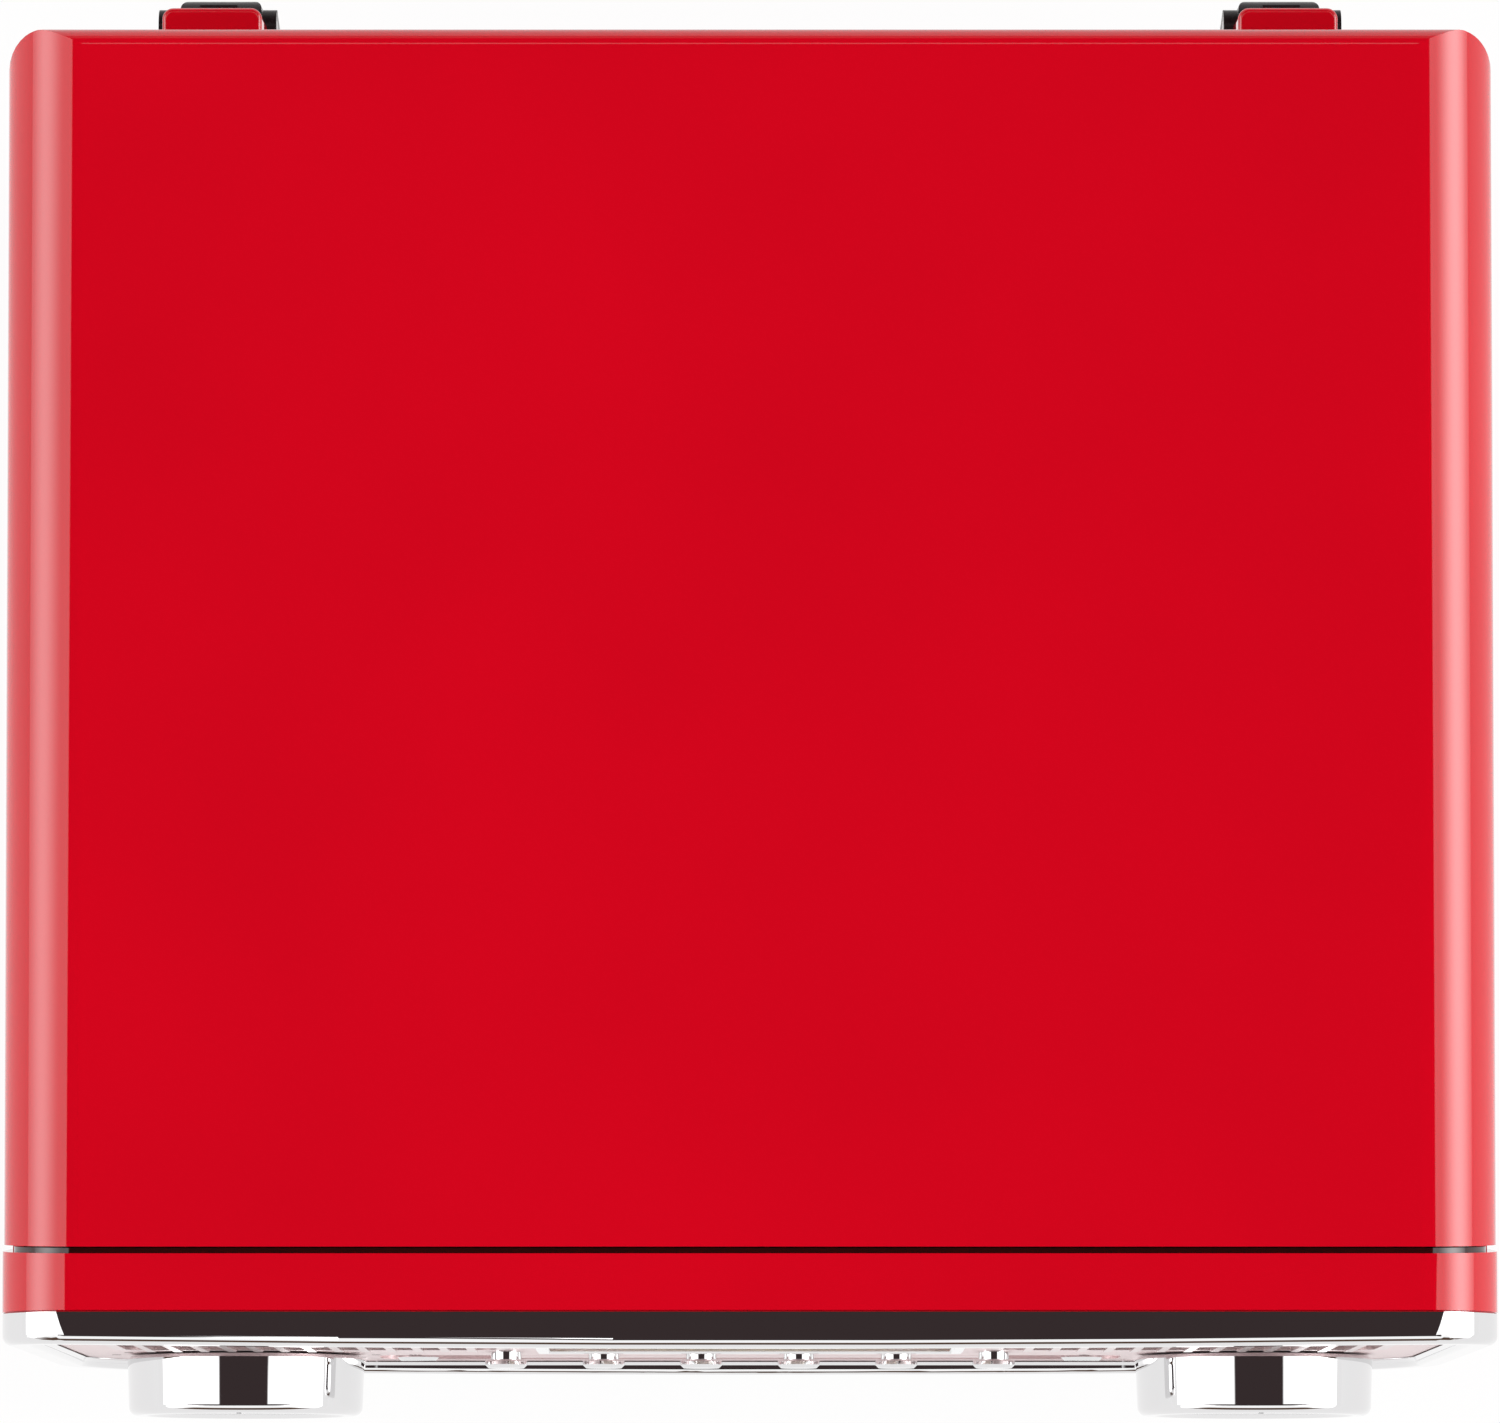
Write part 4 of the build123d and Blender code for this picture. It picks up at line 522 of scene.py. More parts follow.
def add_arc(bm, matrix, radius, width, start, end, steps=48):
    """Thin curved band on matrix's XY plane; angles from +X towards +Y."""
    turns = [start + (end - start) * i / steps for i in range(steps + 1)]
    outer = [polar(radius + width / 2, turn) for turn in turns]
    inner = [polar(radius - width / 2, turn) for turn in reversed(turns)]
    add_plate(bm, outer + inner, matrix, FILM)


def add_skin(bm, rings):
    """Faces from each ring of vertices to the next; a ring of one vertex is a tip on the axis."""
    count = max(len(ring) for ring in rings)
    for low, high in zip(rings, rings[1:]):
        for i in range(count):
            j = (i + 1) % count
            corners = [low[i % len(low)], low[j % len(low)], high[j % len(high)], high[i % len(high)]]
            unique = list(dict.fromkeys(corners))
            if len(unique) > 2:
                bm.faces.new(unique)


def add_turned(bm, outline, matrix, segments=48):
    """Solid turned about matrix's Z from (radius, height) points: a loop, or from axis to axis."""
    closed = outline[0] == outline[-1]
    rings = []
    for radius, height in outline[:-1] if closed else outline:
        count = segments if radius else 1
        points = [(*polar(radius, 2 * pi * i / count), height) for i in range(count)]
        rings.append([bm.verts.new(matrix @ Vector(point)) for point in points])
    add_skin(bm, rings + rings[:1] if closed else rings)


def add_text(bm, words, size, matrix, centre=(0.0, 0.0), turn=0.0, thickness=FILM):
    """Raised numerals, centred on matrix's XY plane."""
    curve = bpy.data.curves.new("numerals", "FONT")
    curve.body = words
    curve.size = size * 1.4
    curve.extrude = thickness / 2
    curve.align_x, curve.align_y = "CENTER", "CENTER"
    carrier = place_object("numerals", curve)
    bpy.context.view_layer.update()
    mesh = bpy.data.meshes.new_from_object(carrier)
    bpy.data.objects.remove(carrier)
    bpy.data.curves.remove(curve)
    lift = Matrix.Translation((*centre, thickness / 2)) @ Matrix.Rotation(turn, 4, "Z")
    mesh.transform(matrix @ lift)
    bm.from_mesh(mesh)
    bpy.data.meshes.remove(mesh)


def carved(name, body, cutters):
    """Mesh of a bmesh with others cut out of it."""
    blocks = [place_object(name, from_bmesh(name, bm)) for bm in (body, *cutters)]
    for cutter in blocks[1:]:
        cut = blocks[0].modifiers.new("cut", "BOOLEAN")
        cut.operation, cut.solver, cut.object = "DIFFERENCE", "EXACT", cutter
    bpy.context.view_layer.update()
    shown = blocks[0].evaluated_get(bpy.context.evaluated_depsgraph_get())
    mesh = bpy.data.meshes.new_from_object(shown)
    for block in blocks:
        spare = block.data
        bpy.data.objects.remove(block)
        bpy.data.meshes.remove(spare)
    return mesh


def points(node):
    """Points of a CAD node."""
    return [vertex.co for vertex in frame["nodes"][node].data.vertices]


def islands(node, span):
    """Boxes of the separate solids of a node, none of which is larger than span."""
    groups = []
    for point in points(node):
        near = [group for group in groups if (point - group[0]).length < span]
        if near:
            near[0].append(point)
        else:
            groups.append([point])
    return [(Vector(map(min, zip(*group))), Vector(map(max, zip(*group)))) for group in groups]


def plane_at(point, outward, upward):
    """Matrix whose XY plane lies at point, with its Z outward and its Y upward."""
    z = Vector(outward).normalized()
    x = Vector(upward).cross(z).normalized()
    y = z.cross(x)
    return Matrix.Translation(point) @ Matrix((x, y, z)).transposed().to_4x4()


def reach(node):
    """Least and greatest distance of a node's points outward from the origin."""
    spans = [point.dot(OUTWARD) for point in points(node)]
    return min(spans), max(spans)


def face_plane(point, distance):
    """Plane of the front through the line outward from a point, at that distance along it."""
    point = Vector(point)
    return plane_at(point + OUTWARD * (distance - point.dot(OUTWARD)), OUTWARD, UPWARD)


# --- operators: finishes of the CAD nodes
class PLAYER_OT_cabinet(Operator):
    """Lacquers lid, cabinet and front frame"""
    bl_idname = "player.cabinet"
    bl_label = "Cabinet and lid"

    def execute(self, context):
        dress_slots("red_gloss")
        return {"FINISHED"}


class PLAYER_OT_metals(Operator):
    """Plates the bright pieces, and finishes pins, bearings, motor and sockets"""
    bl_idname = "player.metals"
    bl_label = "Chrome, steel and brass"

    def execute(self, context):
        dress_slots("chrome", "steel", "brass")
        dress("speaker_grilles", grille_finish())
        # painted shade: the gap trim gets a near-black red lacquer in place of chrome, standing in for the shade
        # in the gap under the lid
        painted_gap_shade = coated("dark_gap_trim", settings("lacquer").gap, 0.15, 60.0, 1.0, 0.05, 0.45)
        dress("gap_trim", painted_gap_shade)
        for name in KNOBS:
            centre = JOINTS[f"{name}_turn"]["pos_m"]
            dress(f"{name}_knob", spun_finish(f"spun_chrome_{name}", centre))
        return {"FINISHED"}


class PLAYER_OT_mouldings(Operator):
    """Finishes panel, plastics, rubber, felt and cloth"""
    bl_idname = "player.mouldings"
    bl_label = "Panel, plastics and cloth"

    def execute(self, context):
        dress_slots(
            "panel", "black_plastic", "deck_plastic", "rubber", "slip_mat", "cloth", "speaker", "circuit",
            "cartridge",
        )
        hinges = moulded("hinge_moulding", (0.016, 0.010, 0.011), 0.24, 900.0, 0.004 * MM, 0.2)
        for side in ("left", "right"):
            dress(f"hinge_leaf_{side}", hinges)
            dress(f"hinge_bracket_{side}", hinges)
        return {"FINISHED"}


# --- operators: dial and panel prints
class PLAYER_OT_dial(Operator):
    """Finishes the tuning dial and prints its two scales"""
    bl_idname = "player.dial"
    bl_label = "Tuning dial"

    scales = (
        (47.0 * MM, ("88", "92", "96", "100", "104", "108")),
        (31.0 * MM, ("5", "6", "8", "10", "12", "16")),
    )
    divisions = 4              # marks from one numeral to the next
    long_mark = 3.2 * MM
    short_mark = 1.8 * MM
    numeral_gap = 0.9          # of a numeral's height, from its mark to its middle
    plate_thickness = 1.5 * MM
    line = 0.5 * MM

    def execute(self, context):
        dress_slots("lens", "dial_face", "needle")
        values = settings("dial")
        floor = reach("dial_plate")[0] + self.plate_thickness
        plane = face_plane(JOINTS["needle_turn"]["pos_m"], floor + PRINT_LIFT)
        start, end = pi / 2 + values.sweep, pi / 2 - values.sweep
        bm = bmesh.new()
        for radius, numerals in self.scales:
            add_arc(bm, plane, radius, self.line, start, end)
            steps = self.divisions * (len(numerals) - 1)
            for i in range(steps + 1):
                turn = start + (end - start) * i / steps
                mark = self.short_mark if i % self.divisions else self.long_mark
                add_bar(bm, plane, mark, self.line, FILM, polar(radius - mark / 2, turn), turn)
                if i % self.divisions == 0:
                    middle = polar(radius - mark - values.numeral * self.numeral_gap, turn)
                    words = numerals[i // self.divisions]
                    add_text(bm, words, values.numeral, plane, middle, turn - pi / 2)
        piece("dial_scales", bm, ink_finish("dial_ink", (0.050, 0.020, 0.012)), "base")
        return {"FINISHED"}


class PLAYER_OT_panel_prints(Operator):
    """Prints the marks round the volume knob and the signs over the buttons"""
    bl_idname = "player.panel_prints"
    bl_label = "Printed marks"

    # outlines of signs that are 1 high
    outlines = {
        "right": [[(-0.4, -0.5), (0.4, 0.0), (-0.4, 0.5)]],
        "left": [[(0.4, -0.5), (0.4, 0.5), (-0.4, 0.0)]],
        "up": [[(-0.5, -0.2), (0.5, -0.2), (0.0, 0.5)], slab(1.0, 0.2, 0.0, -0.4)],
        "block": [slab(1.0, 1.0)],
        "pause": [slab(0.24, 1.0, -0.25), slab(0.24, 1.0, 0.25)],
        "bars": [slab(1.0, 0.17, 0.0, -0.36), slab(1.0, 0.17), slab(1.0, 0.17, 0.0, 0.36)],
        "ring": [slab(0.2, 0.7, 0.0, 0.35)],
    }
    ring_sweep = (radians(125.0), radians(415.0))
    signs = {
        "source": [(0.0, "ring")],
        "back": [(-0.55, "left"), (0.35, "left")],
        "play": [(-0.6, "right"), (0.45, "pause")],
        "stop": [(0.0, "block")],
        "next": [(-0.35, "right"), (0.55, "right")],
        "memory": [(0.0, "bars")],
        "eject": [(0.0, "up")],
        "power": [(0.0, "ring")],
    }
    bay_buttons = ("eject", "power")
    sign_rise = 9.4 * MM
    bay_rise = 17.8 * MM
    tick_gap = 2.0 * MM
    tick_width = 0.7 * MM
    tick_start, tick_sweep = radians(240.0), radians(300.0)

    def add_sign(self, bm, plane, kind, size, across):
        """One sign, size high, at across beside the middle of the plane."""
        for outline in self.outlines[kind]:
            add_plate(bm, [(across + size * x, size * y) for x, y in outline], plane, FILM)
        if kind == "ring":
            placed = plane @ Matrix.Translation((across, 0.0, 0.0))
            add_arc(bm, placed, size / 2, 0.2 * size, *self.ring_sweep, 32)

    def execute(self, context):
        values = settings("panel")
        skin = reach("front_panel")[1] + PRINT_LIFT
        bm = bmesh.new()
        for name, marks in self.signs.items():
            low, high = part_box(f"{name}_button")
            rise = self.bay_rise if name in self.bay_buttons else self.sign_rise
            plane = face_plane((low + high) / 2 + UPWARD * rise, skin)
            for shift, kind in marks:
                self.add_sign(bm, plane, kind, values.symbol, shift * values.symbol)
        low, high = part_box("volume_knob")
        middle = (high.x - low.x) / 2 + self.tick_gap + values.tick / 2
        plane = face_plane(JOINTS["volume_turn"]["pos_m"], skin)
        for i in range(values.tick_count):
            turn = self.tick_start - self.tick_sweep * i / (values.tick_count - 1)
            add_bar(bm, plane, values.tick, self.tick_width, FILM, polar(middle, turn), turn)
        piece("panel_marks", bm, ink_finish("panel_ink", values.ink), "base")
        return {"FINISHED"}


class PLAYER_OT_knob_pointers(Operator):
    """Inlays a black pointer line in the rim of each knob"""
    bl_idname = "player.knob_pointers"
    bl_label = "Knob pointers"

    inset = 4.6 * MM           # rim of the knob to the middle of the line
    line = (1.3 * MM, 3.0 * MM)
    thickness = 0.08 * MM

    def execute(self, context):
        ink = gloss_plastic("pointer_enamel", (0.012, 0.012, 0.013))
        for name in KNOBS:
            low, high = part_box(f"{name}_knob")
            face = reach(f"{name}_knob")[1]
            plane = face_plane(JOINTS[f"{name}_turn"]["pos_m"], face + PRINT_LIFT / 2)
            bm = bmesh.new()
            add_bar(bm, plane, *self.line, self.thickness, (0.0, (high.x - low.x) / 2 - self.inset))
            piece(f"{name}_pointer", bm, ink, f"{name}_knob")
        return {"FINISHED"}


# --- operators: screws, feet and sockets
def cross_screw(radius, rise):
    """Mesh of a raised screw head on the XY plane, with a cross recess and its shank below."""
    head = bmesh.new()
    shank = radius / 2
    add_turned(head, [
        (0.0, -rise), (shank, -rise), (shank, 0.0), (radius, 0.0), (radius, 0.35 * rise),
        (0.86 * radius, 0.74 * rise), (0.55 * radius, 0.95 * rise), (0.0, rise),
    ], Matrix.Identity(4), 32)
    arms = []
    for turn in (0.0, pi / 2):
        arms.append(bmesh.new())
        placed = Matrix.Translation((0.0, 0.0, 0.4 * rise)) @ Matrix.Rotation(turn, 4, "Z")
        add_bar(arms[-1], placed, 1.15 * radius, 0.3 * radius, rise)
    return carved("cross_screw", head, arms)


def screws(name, head, places, metal, body="base"):
    """Piece with a cross-recessed screw at each place; head is its radius and its rise."""
    source = cross_screw(*head)
    bm = bmesh.new()
    for place in places:
        copied = source.copy()
        copied.transform(place)
        bm.from_mesh(copied)
        bpy.data.meshes.remove(copied)
    bpy.data.meshes.remove(source)
    return piece(name, bm, metal, body, ROUNDED)


class PLAYER_OT_screws(Operator):
    """Case screws with a cross recess, in place of the plain ones"""
    bl_idname = "player.screws"
    bl_label = "Screws"

    turn_step = radians(37.0)
    bracket_plate = 3.0 * MM

    def execute(self, context):
        values = settings("fitting")
        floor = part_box("bottom_cover")[0].z
        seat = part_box("hinge_bracket_left")[0].y + self.bracket_plate
        places = []
        for i, (low, high) in enumerate(islands("case_screws", 4 * values.head)):
            middle = (low + high) / 2
            if low.z < floor:
                place = plane_at((middle.x, middle.y, floor), DOWN, BACK)
            else:
                place = plane_at((middle.x, seat, middle.z), BACK, UP)
            places.append(place @ Matrix.Rotation(i * self.turn_step, 4, "Z"))
        steel = tooled_metal("screw_steel", 0.26, (900.0,) * 3)
        made = screws("cross_screws", (values.head, values.head_rise), places, steel)
        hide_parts("case_screws")
        return {"FINISHED"}


class PLAYER_OT_feet(Operator):
    """Rubber feet with a rolled edge and a sunk screw"""
    bl_idname = "player.feet"
    bl_label = "Feet"

    spread = 40 * MM           # a foot is smaller than this
    sunk_share = 0.42          # depth of the recess, of the foot's height
    lip = (0.7 * MM, 0.6 * MM)
    edge = ((1.8 * MM, 0.0), (0.9 * MM, 0.3 * MM), (0.3 * MM, 0.9 * MM), (0.0, 1.8 * MM))
    low_head = 0.8

    def execute(self, context):
        values = settings("fitting")
        hollow = values.recess
        lip_width, lip_depth = self.lip
        feet = bmesh.new()
        places = []
        for low, high in islands("rubber_feet", self.spread):
            middle = (low + high) / 2
            radius = (high.x - low.x) / 2
            sunk = self.sunk_share * high.z
            rolled = [(radius - inward, height) for inward, height in self.edge]
            add_turned(feet, [
                (0.0, sunk), (hollow, sunk), (hollow, lip_depth), (hollow + lip_width, 0.0), *rolled,
                (radius, high.z), (0.0, high.z),
            ], Matrix.Translation((middle.x, middle.y, 0.0)), 64)
            places.append(plane_at((middle.x, middle.y, sunk), DOWN, BACK))
        rubber = moulded("foot_rubber", (0.022, 0.022, 0.023), 0.70, 700.0, 0.04 * MM)
        made = piece("moulded_feet", feet, rubber, "base", ROUNDED)
        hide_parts("rubber_feet")
        steel = tooled_metal("foot_steel", 0.26, (900.0,) * 3)
        screws("foot_screws", (values.head, self.low_head * values.head_rise), places, steel)
        return {"FINISHED"}


class PLAYER_OT_sockets(Operator):
    """Insulators, contacts and rims of the sockets"""
    bl_idname = "player.sockets"
    bl_label = "Sockets"

    jack_span = 15 * MM
    flange = 1.6 * MM
    # each ring: inner radius, outer radius, low and high end
    insulator = (1.7 * MM, 3.3 * MM, -1.0 * MM, 0.12 * MM)
    washer = (4.3 * MM, 5.7 * MM, 0.0, 0.5 * MM)
    inlet_pin = (0.6 * MM, 1.12 * MM, -3 * MM, 5.2 * MM)
    pin_depth = 5 * MM
    bores = {"aux_jack": 1.8 * MM, "power_inlet": 3.0 * MM}
    rim = (-0.25 * MM, 0.7 * MM, -0.8 * MM, 0.1 * MM)    # its radii are from the bore's edge

    def ring(self, bm, place, inner, outer, low, high):
        add_turned(
            bm, [(inner, low), (outer, low), (outer, high), (inner, high), (inner, low)], place, 48
        )

    def behind(self, low, high, y):
        """Plane at y that faces the back, in the middle of a box."""
        return plane_at(((low.x + high.x) / 2, y, (low.z + high.z) / 2), BACK, UP)

    def execute(self, context):
        values = settings("fitting")
        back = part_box("cabinet_shell")[1].y
        jacks = sorted(islands("rca_jacks", self.jack_span), key=lambda span: span[0].x)
        for side, (low, high) in zip(("right", "left"), jacks):
            bm = bmesh.new()
            self.ring(bm, self.behind(low, high, high.y), *self.insulator)
            self.ring(bm, self.behind(low, high, back + self.flange), *self.washer)
            nylon = gloss_plastic(f"{side}_nylon", getattr(values, f"{side}_ring"))
            piece(f"{side}_insulator", bm, nylon, "base", ROUNDED)
        rims = bmesh.new()
        inner, outer, *ends = self.rim
        for node, bore in self.bores.items():
            low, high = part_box(node)
            self.ring(rims, self.behind(low, high, high.y), bore + inner, bore + outer, *ends)
        self.ring(rims, self.behind(*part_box("power_inlet"), back - self.pin_depth), *self.inlet_pin)
        metal = tooled_metal("contact_metal", 0.22, (500.0,) * 3)
        piece("socket_rims", rims, metal, "base", ROUNDED)
        return {"FINISHED"}


# --- operators: deck and tonearm
class PLAYER_OT_deck_prints(Operator):
    """Prints speeds, cueing arrows and the stop switch's marks on the deck"""
    bl_idname = "player.deck_prints"
    bl_label = "Deck prints"

    speeds = ("33", "45", "78")
    speed_reach = 17.0 * MM
    tick_reach = 0.78 * speed_reach
    tick = (1.2 * MM, 0.4 * MM)
    cue_offset = (-5.5 * MM, 4.0 * MM)
    arrow = 1.5 * MM
    arrow_rise = 2.6 * MM
    switch_gap = 9.5 * MM
    switch_inset = 3 * MM
    switch_share = 0.8         # height of OFF and ON, of a speed numeral's

    def on_deck(self, x, y):
        """Plane on the deck, with its Y away from the front."""
        return plane_at((x, y, JOINTS["speed_select"]["pos_m"][2] + PRINT_LIFT), UP, BACK)

    def execute(self, context):
        numeral = settings("deck").numeral
        bm = bmesh.new()
        joint = JOINTS["speed_select"]
        plane = self.on_deck(*joint["pos_m"][:2])
        low, high = (radians(limit) for limit in joint["range_deg"])
        for i, words in enumerate(self.speeds):
            turn = -pi / 2 - (low + (high - low) * i / (len(self.speeds) - 1))
            add_text(bm, words, numeral, plane, polar(self.speed_reach, turn))
            add_bar(bm, plane, *self.tick, FILM, polar(self.tick_reach, turn), turn)
        low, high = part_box("cue_lever")
        plane = self.on_deck(low.x + self.cue_offset[0], low.y + self.cue_offset[1])
        half = self.arrow
        for way in (1, -1):
            rise = way * self.arrow_rise
            outline = [(-half, rise - way * half), (half, rise - way * half), (0.0, rise + way * half)]
            add_plate(bm, outline[::way], plane, FILM)
        add_bar(bm, plane, 2 * half, self.tick[1])
        low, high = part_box("stop_switch")
        side = low.x - self.switch_gap
        end = high.y + JOINTS["stop_select"]["range_m"][1] - self.switch_inset
        for words, y in (("OFF", low.y + self.switch_inset), ("ON", end)):
            add_text(bm, words, self.switch_share * numeral, self.on_deck(side, y))
        piece("deck_marks", bm, ink_finish("deck_ink", (0.62, 0.62, 0.60)), "base")
        return {"FINISHED"}


class PLAYER_OT_tonearm(Operator):
    """Locking ring, screws and tracking-force scale of the tonearm"""
    bl_idname = "player.tonearm"
    bl_label = "Tonearm fittings"

    pivot = Vector(JOINTS["arm_lift"]["pos_m"])
    tube = 3.55 * MM
    ring_radius = 6.1 * MM
    ring_length = 6.0 * MM
    knurls = 36
    knurl_depth = 0.35 * MM
    scale_radius = 8.8 * MM
    scale_width = 3.2 * MM
    scale_edge = 0.4 * MM
    scale_marks = 40
    marks_per_numeral = 10
    mark_width = 0.25 * MM
    mark_lengths = (1.4 * MM, 0.8 * MM)
    mark_film = 0.04 * MM
    scale_numeral = 1.2 * MM
    numeral_line = 1.0 * MM
    pivot_screw = (2.3 * MM, 1.0 * MM)
    shell_screw = (1.3 * MM, 0.9 * MM)
    shell_screw_side = 4.2 * MM
    shell_screw_seat = 11 * MM
    nose = 5 * MM

    def along_arm(self, y):
        """Plane square to the parked arm, facing the back."""
        return plane_at((self.pivot.x, y, self.pivot.z), BACK, UP)

    def knurled_ring(self, place):
        """Turned ring with shallow ribs along its rim."""
        bm = bmesh.new()
        outer, inner = [], []
        for i in range(2 * self.knurls):
            turn = pi * i / self.knurls
            outer.append(polar(self.ring_radius - (self.knurl_depth if i % 2 else 0.0), turn))
            inner.append(polar(self.tube, turn))
        end = self.ring_length
        rims = [(outer, 0.0), (outer, end), (inner, end), (inner, 0.0)]
        rings = [[bm.verts.new(place @ Vector((*point, height))) for point in rim] for rim, height in rims]
        add_skin(bm, rings + rings[:1])
        return bm

    def force_scale(self, place):
        """Ring beside the counterweight, and the ticks and numerals on its rim."""
        ring, marks = bmesh.new(), bmesh.new()
        width, radius = self.scale_width, self.scale_radius
        add_turned(ring, [
            (self.tube, 0.0), (radius - self.scale_edge, 0.0), (radius, self.scale_edge),
            (radius, width), (self.tube, width), (self.tube, 0.0),
        ], place, 64)
        for i in range(self.scale_marks):
            numeral, between = divmod(i, self.marks_per_numeral)
            across = Vector((*polar(1.0, 2 * pi * i / self.scale_marks), 0.0))
            outward = place.to_3x3() @ across
            spot = place @ (across * radius) + outward * PRINT_LIFT
            plane = plane_at(spot, outward, place.to_3x3() @ Vector(UP))
            mark = self.mark_lengths[1 if between else 0]
            add_bar(marks, plane, self.mark_width, mark, self.mark_film, (0.0, width - mark / 2))
            if not between:
                line = (0.0, self.numeral_line)
                add_text(marks, str(numeral), self.scale_numeral, plane, line, thickness=self.mark_film)
        return ring, marks

    def execute(self, context):
        low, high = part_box("headshell")
        chrome = tooled_metal("ring_metal", 0.18, (700.0, 90.0, 700.0))
        piece("locking_ring", self.knurled_ring(self.along_arm(high.y)), chrome, "arm")
        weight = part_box("counterweight")[0].y
        ring, marks = self.force_scale(self.along_arm(weight - self.scale_width))
        black = gloss_plastic("scale_black", (0.018, 0.018, 0.019), 0.30)
        piece("force_scale", ring, black, "arm", ROUNDED)
        piece("force_marks", marks, ink_finish("scale_ink", (0.70, 0.70, 0.68)), "arm")
        top = max(point.z for point in points("headshell") if point.y < low.y + self.nose)
        low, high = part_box("cartridge")
        middle = (low.x + high.x) / 2
        places = [
            plane_at((middle + side * self.shell_screw_side, low.y + self.shell_screw_seat, top), UP, BACK)
            for side in (-1, 1)
        ]
        screws("headshell_screws", self.shell_screw, places, chrome, "arm")
        _, y, z = self.pivot
        cheeks = [point.x for point in points("tonearm_turret") if point.z > z]
        ends = ((min(cheeks), -1.0), (max(cheeks), 1.0))
        places = [plane_at((x, y, z), (side, 0.0, 0.0), UP) for x, side in ends]
        screws("pivot_screws", self.pivot_screw, places, chrome, "arm_base")
        return {"FINISHED"}


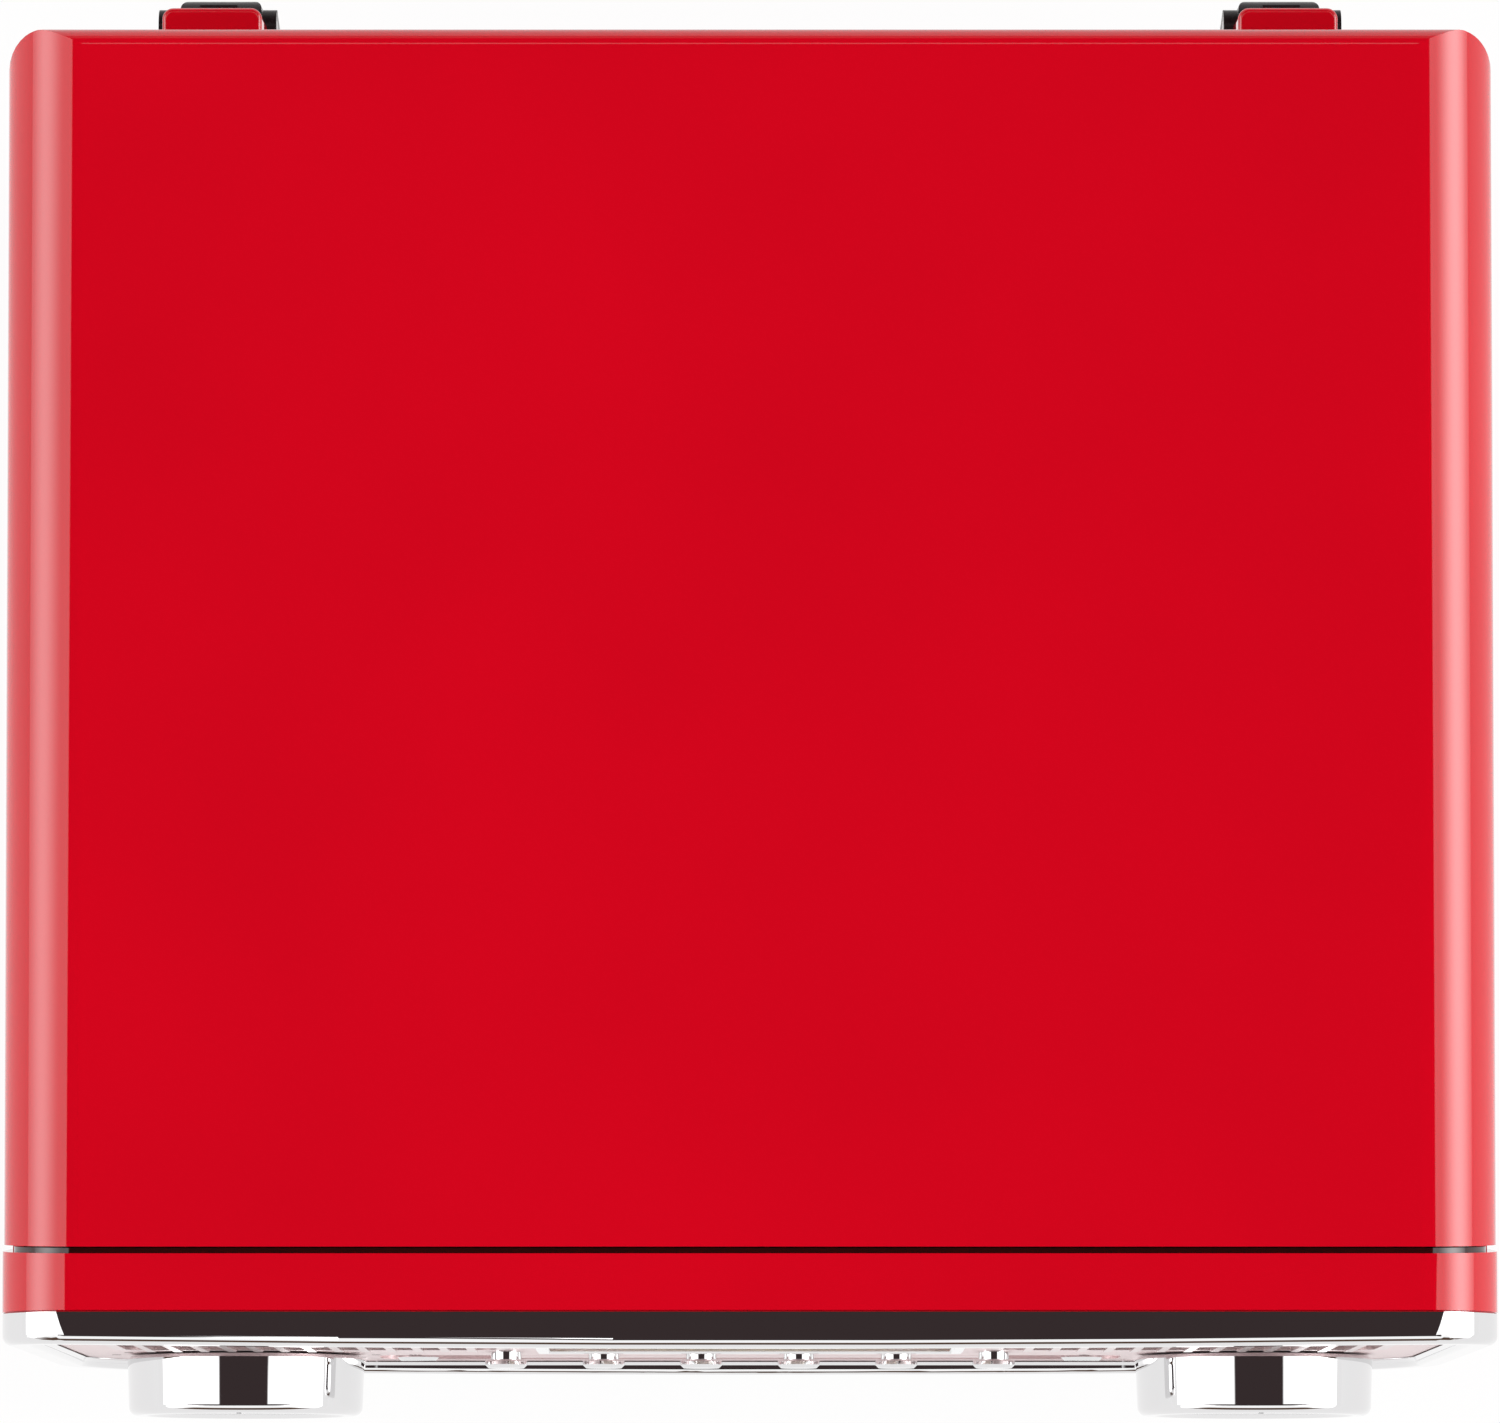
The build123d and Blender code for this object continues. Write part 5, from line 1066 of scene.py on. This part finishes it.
# --- operator: studio
class PLAYER_OT_studio(Operator):
    """Sets up camera, floor and light tent"""
    bl_idname = "player.studio"
    bl_label = "Studio"

    sensor = 36.0              # millimetres
    view_limit = 50.0
    floor_drop = 0.05 * MM
    floor_white = 1.04
    # bands of angles from overhead, towards +X or +Y
    lamp = (46.5, 75.5, 14.5)
    gap_sides, gap_ends = (-22.5, 25.0, 1.0), (-20.0, 60.0, 4.0)
    slit = (11.0, 21.0, 1.0)
    bar_sides, bar_ends = (-58.0, 58.0, 1.0), (-20.0, -8.0, 2.0)
    window_ends = (-80.0, -52.0, 3.0)
    window_jamb = sin(radians(50.0))
    backdrop = radians(10.0)   # its height in front and behind, and half of that at the sides
    # where one light gives way to the next
    middle = radians(3.0)
    lamp_fade = (0.45, 0.75)
    side_fade = (0.75, 0.98)
    end_fade = 0.2
    window_fade = 0.1
    backdrop_fade = (0.6, 0.9)

    def camera(self, values, target):
        data = bpy.data.cameras.new("plan_camera")
        data.sensor_width = self.sensor
        data.lens = values.focal
        data.clip_end = self.view_limit
        made = place_object("plan_camera", data)
        away = Vector((0.0, -sin(values.tilt), cos(values.tilt)))
        made.location = target + away * values.distance
        made.rotation_euler = (values.tilt, 0.0, 0.0)
        bpy.context.scene.camera = made

    def floor(self, values):
        """Pale floor that keeps a soft shadow and otherwise shows white."""
        bm = bmesh.new()
        bmesh.ops.create_grid(bm, x_segments=1, y_segments=1, size=values.floor / 2)
        made = place_object("floor", from_bmesh("floor", bm))
        made.location.z = -self.floor_drop
        finish = Finish("pale_floor", roughness=0.9)
        finish.done(base_color=finish.tinted(finish.noise(2.0), [values.floor_tint] * 3, 0.01))
        rays = finish.add("LightPath").outputs
        mirrored = finish.calc("MAXIMUM", rays["Is Glossy Ray"], rays["Is Transmission Ray"])
        seen = finish.calc("MAXIMUM", rays["Is Camera Ray"], mirrored)
        glow = finish.add("Emission", {"Color": (1, 1, 1, 1), "Strength": self.floor_white})
        bare = finish.add("MixShader", {
            0: finish.times(seen, values.floor_glow), 1: finish.shader.outputs[0], 2: glow.outputs[0],
        })
        finish.put(finish.output, "Surface", bare.outputs[0])
        made.data.materials.append(finish.material)

    def room(self, light, values, sway, y, sideways):
        """Brightness by direction: two soft lamps left and right over plain walls, and the two ends."""
        lamp = light.times(
            light.within(light.calc("ABSOLUTE", sway), self.lamp),
            light.ramp(light.calc("ABSOLUTE", y), 1.0, 0.0, *self.lamp_fade),
        )
        lamp_light = light.ramp(sway, values.left_lamp, values.right_lamp, -self.middle, self.middle)
        walls = light.calc("MULTIPLY_ADD", lamp, lamp_light, values.wall_light)
        ends = light.ramp(y, values.front_light, values.back_light, -self.end_fade, self.end_fade)
        side = light.ramp(sideways, 0.0, 1.0, *self.side_fade)
        return light.calc(
            "ADD", light.times(walls, side), light.times(ends, light.calc("SUBTRACT", 1.0, side))
        )

    def tent(self, values):
        """World light by direction: the room, a dark T with a bright slit overhead, a dark window in
        front, and a white backdrop at the height of the floor."""
        world = bpy.data.worlds.new("light_tent")
        world.use_nodes = True
        bpy.context.scene.world = world
        light = Graph(world.node_tree, "Generated")
        x, y, z = light.add("SeparateXYZ", {0: light.place}).outputs
        squares = light.calc("ADD", light.calc("POWER", x, 2.0), light.calc("POWER", y, 2.0))
        spread = light.calc("MAXIMUM", light.calc("SQRT", squares), 1e-4)
        sideways = light.calc("DIVIDE", light.calc("ABSOLUTE", x), spread)
        sway = light.calc("ARCTAN2", x, z)
        nod = light.calc("ARCTAN2", y, z)
        bright = self.room(light, values, sway, y, sideways)
        jamb, fade = self.window_jamb, self.window_fade
        window = light.times(
            light.within(nod, self.window_ends), light.ramp(sideways, 1.0, 0.0, jamb - fade, jamb + fade)
        )
        shown = light.mix(window, bright, opaque(values.window_tint))
        slit = light.within(nod, self.slit)
        overhead = light.mix(slit, opaque(values.gap_tint), opaque([values.slit_light] * 3))
        stem = light.times(light.within(sway, self.gap_sides), light.within(nod, self.gap_ends))
        bar = light.times(light.within(sway, self.bar_sides), light.within(nod, self.bar_ends))
        gap = light.calc("MAXIMUM", stem, bar)
        shown = light.mix(gap, shown, overhead)
        rim = light.ramp(sideways, sin(self.backdrop), sin(self.backdrop / 2), *self.backdrop_fade)
        shown = light.mix(light.calc("LESS_THAN", z, rim), shown, (1, 1, 1, 1))
        glow = light.add("Background", {"Color": shown})
        light.add("OutputWorld", {"Surface": glow.outputs[0]})

    def execute(self, context):
        values = settings("studio")
        self.camera(values, Vector((0.0, -values.aim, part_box("lid")[1].z)))
        self.floor(values)
        self.tent(values)
        context.scene.view_settings.view_transform = "Standard"
        return {"FINISHED"}


# --- sidebar, registration and run
OPERATORS = (
    PLAYER_OT_cabinet, PLAYER_OT_metals, PLAYER_OT_mouldings, PLAYER_OT_dial, PLAYER_OT_panel_prints,
    PLAYER_OT_knob_pointers, PLAYER_OT_screws, PLAYER_OT_feet, PLAYER_OT_sockets,
    PLAYER_OT_deck_prints, PLAYER_OT_tonearm, PLAYER_OT_studio,
)


class PLAYER_PT_sidebar(Panel):
    """Steps and settings of the record player"""
    bl_label = "Record Player"
    bl_space_type = "VIEW_3D"
    bl_region_type = "UI"
    bl_category = "Record Player"

    def draw(self, context):
        for operator in OPERATORS:
            self.layout.operator(operator.bl_idname)
        for group, kind in SETTINGS.items():
            box = self.layout.box()
            box.label(text=group.title())
            for name in kind.__annotations__:
                box.prop(settings(group), name)


CLASSES = (*SETTINGS.values(), *OPERATORS, PLAYER_PT_sidebar)


def register():
    for cls in CLASSES:
        bpy.utils.register_class(cls)
    for group, kind in SETTINGS.items():
        setattr(bpy.types.Scene, f"player_{group}", PointerProperty(type=kind))


def unregister():
    for group in SETTINGS:
        delattr(bpy.types.Scene, f"player_{group}")
    for cls in reversed(CLASSES):
        bpy.utils.unregister_class(cls)


def main():
    register()
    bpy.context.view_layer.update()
    for operator in OPERATORS:
        group, name = operator.bl_idname.split(".")
        getattr(getattr(bpy.ops, group), name)()


if __name__ == "__main__":
    main()
